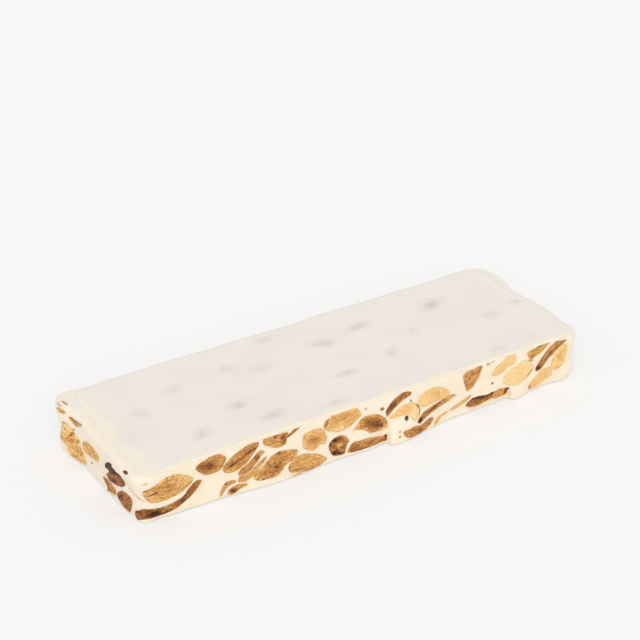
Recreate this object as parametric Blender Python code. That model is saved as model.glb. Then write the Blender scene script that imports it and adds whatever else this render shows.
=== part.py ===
"""A bar of hard almond nougat between two wafer sheets.

Metres, +Z up. The bar lies on its lower wafer. +X runs along its length and its
front cut side faces -Y. The origin is on the ground under the middle of its box.
"""
import math
import random

import bmesh
import bpy
from mathutils import Matrix, Vector

MM = 0.001
UP = Vector((0.0, 0.0, 1.0))

# Driving dimensions of the bar.
LENGTH = 200.0 * MM
WIDTH = 66.8 * MM
HEIGHT = 21.4 * MM
WAFER = 0.5 * MM            # thickness of each wafer sheet
GAP = 0.3 * MM              # clearance between neighbouring solids
EDGE = 0.7 * MM             # how far the sides draw in at the sheets
FRONT_STEP = 3.6 * MM       # spacing of the outline's points along the front side
OTHER_STEP = 8.0 * MM       # their spacing along the other three sides

# The nougat fills the height between the sheets, and its side has these levels.
NOUGAT_LOW = WAFER + GAP
NOUGAT_HIGH = HEIGHT - WAFER - GAP
NOUGAT_LEVELS = (0.0, 0.1, 0.9, 1.0)

# Plan radius of each upright corner.
CORNER_RADII = {"front_left": 2.0 * MM, "front_right": 6.0 * MM,
                "back_right": 4.0 * MM, "back_left": 7.0 * MM}

# The front side sags outwards towards its foot: place along X, spread, amount.
FRONT_SAGS = ((-36 * MM, 15 * MM, 3.0 * MM), (2 * MM, 9 * MM, 2.4 * MM))
# Two lumps stand forward with a steep left flank: flank, spread, amount.
FRONT_LUMPS = ((7.8 * MM, 15 * MM, 4.2 * MM), (67.4 * MM, 7 * MM, 2.3 * MM))
LUMP_FLANK = 1.0 * MM
# Lobes of the right end: place along Y, spread, amount.
RIGHT_LOBES = ((25 * MM, 7 * MM, 3.0 * MM), (1 * MM, 4 * MM, 2.0 * MM),
               (-9 * MM, 4 * MM, 3.6 * MM), (-22 * MM, 5 * MM, 3.0 * MM))
# Waves of the back side: place along X, spread, amount.
BACK_LOBES = ((-78 * MM, 8 * MM, 1.0 * MM), (-52 * MM, 10 * MM, 1.4 * MM),
              (-18 * MM, 12 * MM, 1.0 * MM), (22 * MM, 9 * MM, 1.5 * MM),
              (58 * MM, 12 * MM, 1.2 * MM), (90 * MM, 8 * MM, 1.6 * MM))
# The foot of the front left corner is drawn in by this much along X and Y.
CORNER_TUCK = (4.6 * MM, 2.0 * MM)
CORNER_REACH = (16 * MM, 14 * MM)

# The upper wafer stops short of the left end and of the back right corner.
WAFER_LEFT_INSET = 4.5 * MM
WAFER_CORNER_INSET = 3.0 * MM
WAFER_EDGE = 0.3 * MM

# Almonds cut open at the front: along X, height, length, width in mm, tilt in degrees,
# then taper towards the right end, bend (positive arches up) and blockiness.
FRONT_ALMONDS = (
    (-86.8, 12.9, 21.0, 8.4, 8, -0.25, 0.0, 0.2),
    (-85.4, 7.0, 25.0, 3.4, 13, 0.1, -3.6, 0.0),
    (-68.9, 16.8, 12.0, 7.4, 2, 0.0, 0.4, 0.0),
    (-56.0, 15.8, 15.2, 6.0, 24, 0.1, 0.3, 0.2),
    (-50.5, 13.0, 9.6, 1.5, 34, 0.0, 0.6, 0.0),
    (-53.0, 8.6, 10.8, 2.2, 29, -0.2, 0.0, 0.2),
    (-62.9, 5.9, 8.5, 2.6, 30, 0.0, 1.2, 0.0),
    (-58.4, 2.9, 8.6, 3.4, 8, 0.0, 0.2, 0.0),
    (-41.9, 8.5, 16.4, 7.8, 19, 0.05, 0.0, 0.3),
    (-27.8, 4.7, 15.4, 6.8, -6, -0.3, 0.6, 0.0),
    (-41.0, 18.4, 9.4, 6.4, -8, -0.1, 0.0, 0.2),
    (-25.0, 13.5, 10.0, 8.6, -24, 0.0, 0.0, 0.3),
    (-11.9, 17.3, 15.2, 7.8, -3, -0.1, 0.3, 0.1),
    (-14.2, 6.8, 8.6, 8.4, 0, 0.0, 0.0, 0.1),
    (0.9, 11.9, 13.0, 7.0, -22, 0.1, 0.5, 0.1),
    (-0.9, 3.9, 15.4, 4.0, -5, -0.1, 0.0, 0.5),
    (13.2, 17.6, 12.8, 3.2, 33, 0.15, 0.3, 0.1),
    (16.8, 12.2, 12.8, 3.8, -6, -0.1, 1.8, 0.0),
    (30.3, 14.9, 14.2, 6.4, -4, 0.0, 0.9, 0.1),
    (32.3, 9.0, 15.8, 1.8, 22, -0.2, 0.7, 0.0),
    (21.2, 3.5, 12.4, 3.7, 13, -0.1, -1.2, 0.2),
    (49.4, 15.8, 10.4, 8.2, -82, -0.5, 0.0, 0.3),
    (45.2, 6.9, 8.6, 1.9, 18, 0.2, 0.3, 0.0),
    (54.6, 4.0, 13.4, 4.4, -3, 0.1, -0.6, 0.1),
    (64.6, 4.4, 5.4, 2.8, -8, 0.0, 0.0, 0.3),
    (65.2, 17.4, 12.4, 4.4, 30, 0.0, 0.3, 0.0),
    (72.0, 10.9, 14.0, 7.8, 12, 0.2, 0.0, 0.1),
    (84.2, 5.4, 12.4, 5.0, 25, 0.1, 0.4, 0.2),
    (82.0, 18.8, 11.8, 3.6, 17, 0.1, 0.3, 0.1),
    (89.2, 15.6, 17.8, 2.8, 42, 0.15, 0.0, 0.2),
    (94.0, 10.2, 9.8, 5.4, 62, 0.1, 0.0, 0.1),
)
# Almonds cut open at the left end, in the same terms; the first value is -Y.
LEFT_ALMONDS = (
    (-20.0, 7.0, 22.0, 8.2, 5, 0.0, 0.0, 0.3),
    (-2.6, 12.4, 13.0, 4.2, 14, 0.1, 0.2, 0.1),
    (-19.0, 17.2, 14.0, 3.6, 8, 0.1, 0.3, 0.0),
    (15.0, 13.2, 16.4, 6.0, 10, 0.0, 0.2, 0.1),
    (8.4, 4.8, 8.6, 3.6, -24, 0.0, 0.0, 0.1),
    (21.6, 5.8, 12.0, 5.6, 14, 0.0, 0.3, 0.1),
)
# Almonds at the back and the right end lie in two rows, laid by a seeded draw.
BACK_COLUMNS = 7
BACK_MARGIN = 16 * MM
RIGHT_ALMONDS = ((-22.0, 14.6), (-20.0, 5.6), (-3.0, 8.4), (12.0, 15.4), (18.0, 5.6))
ROW_HEIGHTS = (15.4 * MM, 6.2 * MM)
HIDDEN_LENGTHS = (12.5, 16.5)
HIDDEN_WIDTHS = (5.0, 6.6)
HIDDEN_TILT = 13.0
SEED = 11

ALMOND_DEPTH = 6.0 * MM     # how deep a cut almond reaches into the nougat, at most
ALMOND_SEGMENTS = 6        # points round an almond's girth, two of them on the cut
ALMOND_RINGS = {"front": 7, "left": 7, "back": 5, "right": 5}



def smoothstep(low, high, value):
    """Ease from 0 at low to 1 at high."""
    t = min(max((value - low) / (high - low), 0.0), 1.0)
    return t * t * (3.0 - 2.0 * t)


def bell(value, spread):
    """Height of a bell curve at this distance from its middle."""
    return math.exp(-0.5 * (value / spread) ** 2)


def front_sag(x, z):
    """How far the front side stands outwards at this place."""
    amount = sum(size * bell(x - place, spread) for place, spread, size in FRONT_SAGS)
    for flank, spread, size in FRONT_LUMPS:
        rise = 0.55 * smoothstep(flank, flank + LUMP_FLANK, x)
        rise += 0.45 * smoothstep(flank, flank + 0.6 * spread, x)
        amount += size * rise * bell(max(x - flank - 0.4 * spread, 0.0), 0.75 * spread)
    return amount * (1.0 - z / HEIGHT)


def shape_side(x, y, z):
    """Move a point of the plain outline to its place on the uneven side."""
    low = 1.0 - z / HEIGHT
    out_x, out_y = x, y
    front = smoothstep(0.0, -0.45 * WIDTH, y)
    back = smoothstep(0.0, 0.45 * WIDTH, y)
    right = smoothstep(0.42 * LENGTH, 0.49 * LENGTH, x)
    out_y -= front * front_sag(x, z) * smoothstep(0.5 * LENGTH, 0.46 * LENGTH, abs(x))
    out_y += back * sum(size * bell(x - place, spread) for place, spread, size in BACK_LOBES)
    out_x += right * sum(size * bell(y - place, spread) for place, spread, size in RIGHT_LOBES)
    near_x = smoothstep(-0.5 * LENGTH + CORNER_REACH[0], -0.5 * LENGTH, x)
    near_y = smoothstep(-0.5 * WIDTH + CORNER_REACH[1], -0.5 * WIDTH, y)
    out_x += CORNER_TUCK[0] * near_x * near_y * low
    out_y += CORNER_TUCK[1] * near_x * near_y * low
    return out_x, out_y


def plain_outline():
    """Points of the rounded rectangle, with the outward direction at each."""
    half_x = 0.5 * LENGTH
    half_y = 0.5 * WIDTH
    corners = (("front_right", 1, -1, -90), ("back_right", 1, 1, 0),
               ("back_left", -1, 1, 90), ("front_left", -1, -1, 180))
    arcs = []
    for name, side_x, side_y, start in corners:
        radius = CORNER_RADII[name]
        centre = Vector((side_x * (half_x - radius), side_y * (half_y - radius)))
        count = max(2, round(radius / (2.0 * MM)))
        for i in range(count + 1):
            angle = math.radians(start + 90.0 * i / count)
            normal = Vector((math.cos(angle), math.sin(angle)))
            arcs.append((centre + radius * normal, normal, i == count))
    points = []
    for (point, normal, last), (following, _, _) in zip(arcs, arcs[1:] + arcs[:1]):
        points.append((point, normal))
        if not last:
            continue
        step = FRONT_STEP if normal.y < -0.5 else OTHER_STEP
        count = round((following - point).length / step)
        for i in range(1, count):
            points.append((point.lerp(following, i / count), normal))
    return points


def loft(name, levels):
    """Make a closed block through outlines given as (height, list of (x, y))."""
    mesh = bmesh.new()
    below = None
    for index, (height, outline) in enumerate(levels):
        closed = index in (0, len(levels) - 1)
        made = bmesh.ops.create_circle(mesh, cap_ends=closed, segments=len(outline), radius=1.0)
        for vert, (x, y) in zip(made["verts"], outline):
            vert.co = (x, y, height)
        ring = {edge for vert in made["verts"] for edge in vert.link_edges}
        if below:
            bmesh.ops.bridge_loops(mesh, edges=list(below | ring))
        below = ring
    bmesh.ops.recalc_face_normals(mesh, faces=mesh.faces)
    return finish_mesh(name, mesh)


def finish_mesh(name, mesh):
    """Turn the mesh being edited into an object that is linked nowhere yet."""
    data = bpy.data.meshes.new(name)
    mesh.to_mesh(data)
    mesh.free()
    return bpy.data.objects.new(name, data)


def side_outline(z, inset):
    """Outline of the uneven side at one height, drawn in by an inset."""
    outline = []
    for point, normal in plain_outline():
        x, y = shape_side(point.x, point.y, z)
        outline.append((x - inset * normal.x, y - inset * normal.y))
    return outline


def make_nougat_block(name):
    """The nougat between the sheets before any almond is let in."""
    levels = []
    for part in NOUGAT_LEVELS:
        z = NOUGAT_LOW + part * (NOUGAT_HIGH - NOUGAT_LOW)
        inset = EDGE if part in (0.0, 1.0) else 0.0
        levels.append((z, side_outline(z, inset)))
    return loft(name, levels)


def make_lower_wafer(name):
    """The sheet under the nougat."""
    outline = side_outline(0.0, WAFER_EDGE)
    return loft(name, ((0.0, outline), (WAFER, outline)))


def make_upper_wafer(name):
    """The sheet on the nougat, short of the left end and the back right corner."""
    outline = []
    for x, y in side_outline(HEIGHT, WAFER_EDGE):
        x += WAFER_LEFT_INSET * smoothstep(-0.44 * LENGTH, -0.49 * LENGTH, x)
        corner = smoothstep(0.44 * LENGTH, 0.5 * LENGTH, x) * smoothstep(0.05 * WIDTH, 0.3 * WIDTH, y)
        outline.append((x - WAFER_CORNER_INSET * corner, y - 0.5 * WAFER_CORNER_INSET * corner))
    return loft(name, ((HEIGHT - WAFER, outline), (HEIGHT, outline)))


def side_frame(side, along, z):
    """A place on one side of the bar, with the side's level and outward directions."""
    if side == "front":
        x, y = shape_side(along, -0.5 * WIDTH, z)
        return Vector((along, y, z)), Vector((1, 0, 0)), Vector((0, -1, 0))
    if side == "back":
        x, y = shape_side(-along, 0.5 * WIDTH, z)
        return Vector((-along, y, z)), Vector((-1, 0, 0)), Vector((0, 1, 0))
    if side == "left":
        x, y = shape_side(-0.5 * LENGTH, -along, z)
        return Vector((x, -along, z)), Vector((0, -1, 0)), Vector((-1, 0, 0))
    x, y = shape_side(0.5 * LENGTH, along, z)
    return Vector((x, along, z)), Vector((0, 1, 0)), Vector((1, 0, 0))


def add_almond(mesh, side, almond, grow):
    """Add one almond to a mesh, its middle on the bar's side, made larger by grow."""
    along, height, length, width, tilt, taper, bend, blocky = almond
    place, level, outward = side_frame(side, along * MM, height * MM)
    turn = math.radians(tilt)
    long_way = level * math.cos(turn) + UP * math.sin(turn)
    across = outward.cross(long_way)
    half_length = 0.5 * length * MM + grow
    half_width = 0.5 * width * MM + grow
    depth = min(ALMOND_DEPTH, 1.6 * half_width) + grow
    quarter = Matrix.Rotation(0.5 * math.pi, 4, "Z")
    made = bmesh.ops.create_uvsphere(mesh, u_segments=ALMOND_SEGMENTS,
                                     v_segments=ALMOND_RINGS[side], radius=1.0, matrix=quarter)
    for vert in made["verts"]:
        u, v, w = vert.co.z, -vert.co.y, vert.co.x
        fullness = 1.0 + blocky * u * u * (1.0 - u * u)
        swell = (1.0 + taper * u) * fullness
        rise = bend * MM * (0.35 - u * u)
        vert.co = (place + long_way * (u * half_length)
                   + across * (v * half_width * swell + rise) + outward * (w * depth))


def hidden_almonds():
    """Almonds of the back and the right end, as side and almond pairs."""
    draw = random.Random(SEED)
    almonds = []
    pitch = (LENGTH - 2 * BACK_MARGIN) / (BACK_COLUMNS - 1)
    places = []
    for row, height in enumerate(ROW_HEIGHTS):
        for column in range(BACK_COLUMNS):
            along = -0.5 * LENGTH + BACK_MARGIN + pitch * column + (row - 0.5) * 0.35 * pitch
            places.append(("back", along / MM + draw.uniform(-2.0, 2.0), height / MM))
    for along, height in RIGHT_ALMONDS:
        places.append(("right", along, height))
    for side, along, height in places:
        almonds.append((side, (along, height + draw.uniform(-0.6, 0.6),
                               draw.uniform(*HIDDEN_LENGTHS), draw.uniform(*HIDDEN_WIDTHS),
                               draw.uniform(-HIDDEN_TILT, HIDDEN_TILT),
                               draw.uniform(-0.15, 0.15), draw.uniform(-0.4, 0.6), 0.15)))
    return almonds


def all_almonds():
    """Every almond as (node name, side, almond)."""
    listed = [("front", almond) for almond in FRONT_ALMONDS]
    listed += [("left", almond) for almond in LEFT_ALMONDS]
    listed += hidden_almonds()
    counts = dict.fromkeys(ALMOND_RINGS, 0)
    named = []
    for side, almond in listed:
        counts[side] += 1
        named.append((f"almond_{side}_{counts[side]:02d}", side, almond))
    return named


def material(name, colour, roughness):
    """A plain material with its colour, roughness and no metal."""
    made = bpy.data.materials.new(name)
    made.use_nodes = True
    shader = made.node_tree.nodes["Principled BSDF"]
    shader.inputs["Base Color"].default_value = (*colour, 1.0)
    shader.inputs["Roughness"].default_value = roughness
    shader.inputs["Metallic"].default_value = 0.0
    return made


def cut(target, cutter, operation):
    """Put a Boolean modifier on an object."""
    boolean = target.modifiers.new(operation.lower(), "BOOLEAN")
    boolean.object = cutter
    boolean.operation = operation
    boolean.solver = "EXACT"
    boolean.use_self = True


def centre_on_origin(objects, reference):
    """Slide every mesh sideways so that the reference objects' box is centred."""
    corners = [v.co for item in reference for v in item.data.vertices]
    middle = Vector((0.5 * (min(c.x for c in corners) + max(c.x for c in corners)),
                     0.5 * (min(c.y for c in corners) + max(c.y for c in corners)), 0.0))
    for item in objects:
        item.data.transform(Matrix.Translation(-middle))


def main():
    for item in list(bpy.data.objects):
        bpy.data.objects.remove(item, do_unlink=True)
    bar = bpy.data.collections.new("nougat_bar")
    cutters = bpy.data.collections.new("cutters")
    bpy.context.scene.collection.children.link(bar)
    bpy.context.scene.collection.children.link(cutters)

    nougat_look = material("nougat", (0.91, 0.83, 0.70), 0.55)
    almond_look = material("almond", (0.58, 0.33, 0.13), 0.6)
    wafer_look = material("wafer", (0.85, 0.78, 0.72), 0.85)

    block = make_nougat_block("nougat_block")
    nougat = make_nougat_block("nougat")
    nougat.data.materials.append(nougat_look)
    lower = make_lower_wafer("wafer_bottom")
    lower.data.materials.append(wafer_look)
    upper = make_upper_wafer("wafer_top")
    upper.data.materials.append(wafer_look)

    pockets = bmesh.new()
    almonds = []
    for name, side, almond in all_almonds():
        add_almond(pockets, side, almond, GAP)
        mesh = bmesh.new()
        add_almond(mesh, side, almond, 0.0)
        made = finish_mesh(name, mesh)
        made.data.materials.append(almond_look)
        made.data.shade_smooth()
        almonds.append(made)
    pocket = finish_mesh("almond_pockets", pockets)

    for made in (block, pocket):
        cutters.objects.link(made)
        made.hide_render = True
        made.display_type = "WIRE"
    for made in (nougat, lower, upper, *almonds):
        bar.objects.link(made)
    cut(nougat, pocket, "DIFFERENCE")
    for made in almonds:
        cut(made, block, "INTERSECT")
    centre_on_origin((block, pocket, nougat, lower, upper, *almonds), (nougat, lower, upper))


main()
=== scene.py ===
"""The looks of the nougat bar: cream nougat, cut almonds and two thin wafer sheets.

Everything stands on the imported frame. The bar's side is one long strip that runs round
it, with a place along the strip and a height. The frame's solids say where that strip
lies in space and where each hidden almond's cut face is. The outlines of the cut faces
at the front and the left end are written below.
"""
import math

import bmesh
import bpy
import numpy as np
from mathutils import Matrix, Vector
from mathutils.bvhtree import BVHTree


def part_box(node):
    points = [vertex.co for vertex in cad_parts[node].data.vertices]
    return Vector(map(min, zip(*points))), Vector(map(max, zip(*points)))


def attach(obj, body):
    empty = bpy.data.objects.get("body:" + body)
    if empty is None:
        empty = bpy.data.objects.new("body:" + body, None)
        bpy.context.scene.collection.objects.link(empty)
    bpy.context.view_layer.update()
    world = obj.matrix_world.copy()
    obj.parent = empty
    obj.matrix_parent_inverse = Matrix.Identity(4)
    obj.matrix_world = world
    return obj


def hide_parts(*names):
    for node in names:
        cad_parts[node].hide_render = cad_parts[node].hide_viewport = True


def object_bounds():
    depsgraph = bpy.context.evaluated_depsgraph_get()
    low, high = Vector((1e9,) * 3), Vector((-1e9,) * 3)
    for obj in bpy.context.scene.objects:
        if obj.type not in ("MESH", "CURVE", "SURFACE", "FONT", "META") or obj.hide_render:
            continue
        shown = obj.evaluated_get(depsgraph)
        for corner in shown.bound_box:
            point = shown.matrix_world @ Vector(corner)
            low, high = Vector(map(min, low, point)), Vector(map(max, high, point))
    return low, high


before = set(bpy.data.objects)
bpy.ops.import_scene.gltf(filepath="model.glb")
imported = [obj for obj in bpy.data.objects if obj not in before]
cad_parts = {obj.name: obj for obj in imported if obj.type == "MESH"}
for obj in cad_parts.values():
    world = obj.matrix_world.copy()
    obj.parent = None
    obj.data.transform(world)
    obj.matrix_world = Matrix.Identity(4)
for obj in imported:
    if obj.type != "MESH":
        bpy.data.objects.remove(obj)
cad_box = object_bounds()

MM = 0.001
SEED = 5
NOISE_CELLS = (512, 128)    # how many cells a noise has before it repeats

# The strip is measured from a path with round corners that lies inside the bar, in mm.
PATH_INSET = 5.0
PATH_RADIUS = 7.0
RAY_START = 25.0            # the rays that read the frame's side start this far outside
SAMPLE_STEP = 1.0           # spacing of the places where the frame's side is read
SAMPLE_MARGIN = 1.6         # how far those places stay from the foot and the top
SAMPLE_BLUR = 1.2

# Grid of the nougat's side: it is finer at the front and the left end, which show most.
FINE_STEP = 0.30
PLAIN_STEP = 0.52
HEIGHT_STEP = 0.32
ALMOND_STEPS = (0.30, 0.28)     # steps of a cut face's grid, along and across
ALMOND_COUNTS = ((14, 64), (8, 30))
SHEET_COUNTS = (330, 124)   # points of a wafer sheet's grid, along and across
WELD = 0.00002              # an almond's two sides join where they are this close, in m

# The nougat draws in towards the sheets, most of all at the top of the left end.
SHEET_THICK = 0.5
SEAM = 0.02                 # the nougat stays this far from the sheets
TOP_ROUND = 0.9
FOOT_ROUND = 0.80
LEFT_ROUND_UP, LEFT_ROUND_IN = 1.4, 1.2
# Rings of the nougat's top, each this far in from the side. The rest is one face.
TOP_RINGS = (0.4, 0.9, 1.6, 2.6, 4.0, 6.0, 9.0)
BOTTOM_INSET = 2.2          # how far the lower sheet's border lies under the nougat

# Each hidden almond's visible rim is this much larger than its solid in the frame.
RIM_GROWTH = 0.30
RIM_FACING = 0.45           # how far a solid's cut face has to face outwards
TUCK = 0.40                 # how far an almond goes on under the nougat
OUTLINE_HEIGHTS = (0.85, 20.6)

# Further almonds on the hidden sides: how many, tries, least gap and heights.
EXTRA_COUNT = 34
EXTRA_TRIES = 1500
EXTRA_GAP = 0.8
EXTRA_HEIGHTS = (1.4, 20.2)

# A spot is carried along the line of sight in steps, each of them a share of the gap.
SIGHT_STEPS = 12
SIGHT_SHARE = 0.8
SIGHT_LIMIT = 4.0
LEAST_FACING = 0.25
# How far round the corners the spots of the front and of the left end may lie.
FRONT_REACH = 8.5
LEFT_START, LEFT_REACH = 5.0, 6.0

# Colours as seen under white light, as sRGB.
NOUGAT = (0.975, 0.925, 0.840)
NOUGAT_WARM = (0.945, 0.845, 0.690)
WAFER = (0.942, 0.916, 0.878)
WAFER_GREY = (0.800, 0.768, 0.732)
# Painted shade for the nougat's holes.
SHADOW_BROWN = (0.360, 0.260, 0.140)
FLOOR = (0.955, 0.952, 0.948)
FLOOR_GLOW = (1.000, 1.000, 1.000)
ALMOND_TONES = ((0.00, (0.215, 0.120, 0.055)), (0.14, (0.400, 0.230, 0.105)),
                (0.32, (0.590, 0.365, 0.180)), (0.50, (0.770, 0.545, 0.290)),
                (0.66, (0.885, 0.675, 0.405)), (0.82, (0.965, 0.810, 0.550)),
                (1.00, (0.985, 0.925, 0.820)))

# How each almond of the front looks, in order: tone from 0 dark to 1 pale, how streaky,
# how rough its cut is in mm, and how far it stands out in mm.
FRONT_LOOKS = (
    (0.60, 0.9, 0.16, 0.0), (0.38, 0.8, 0.22, -0.3), (0.46, 0.7, 0.14, 0.0),
    (0.52, 0.8, 0.12, 0.0), (0.50, 0.6, 0.08, 0.0), (0.56, 0.6, 0.08, 0.0),
    (0.56, 0.6, 0.10, 0.0), (0.54, 0.6, 0.10, 0.0), (0.57, 1.0, 0.18, 0.0),
    (0.62, 0.7, 0.12, 0.1), (0.57, 0.8, 0.14, 0.0), (0.68, 0.6, 0.12, 0.0),
    (0.68, 0.7, 0.16, 0.1), (0.41, 1.0, 0.22, 0.0), (0.54, 0.9, 0.16, 0.0),
    (0.46, 0.8, 0.12, 0.0), (0.38, 0.8, 0.14, 0.0), (0.76, 0.4, 0.06, 0.1),
    (0.77, 0.3, 0.05, 0.3), (0.44, 0.8, 0.10, 0.0), (0.48, 0.9, 0.14, 0.0),
    (0.54, 0.9, 0.12, 0.0), (0.66, 0.5, 0.06, 0.0), (0.38, 0.9, 0.16, -1.0),
    (0.56, 0.6, 0.10, -0.8), (0.80, 0.5, 0.08, 0.0), (0.85, 0.3, 0.06, 0.3),
    (0.77, 0.3, 0.06, 0.2), (0.60, 0.8, 0.10, 0.0), (0.50, 0.8, 0.12, 0.0),
    (0.78, 0.4, 0.08, 0.1),
)
LEFT_LOOKS = (
    (0.72, 1.0, 0.34, 0.4), (0.68, 0.8, 0.20, 0.1), (0.52, 0.7, 0.16, -0.1),
    (0.30, 0.9, 0.26, 0.0), (0.50, 0.8, 0.18, 0.0), (0.38, 1.0, 0.26, 0.0),
)

# The bar's middle lies this far from the frame's origin, in mm.
BAR_MIDDLE = (-1.707, 1.443)
BAR_HALF = (100.0, 33.4)
BAR_FOOT = 0.8

# The camera's place beside the bar's middle, in mm, with its two angles in degrees.
AZIMUTH, ELEVATION = -31.3, 30.37
CAMERA_BACK, CAMERA_RIGHT, CAMERA_UP = 727.9, -1.27, 35.05
LENS, SENSOR = 101.25, 36.0     # in mm

# The soft lamp's place in metres and spread in degrees, and the even light around it.
LAMP_PLACE = (-0.75, -1.25, 1.4)
LAMP_ENERGY = 1.1
LAMP_SPREAD = 50.0
WORLD_STRENGTH = 0.75
FLOOR_SHARE = 0.42          # how much of the floor's own glow the camera sees
FLOOR_SIZE = 6.0            # in metres, as is how far the floor lies under the bar
FLOOR_DROP = 0.00002

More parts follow.
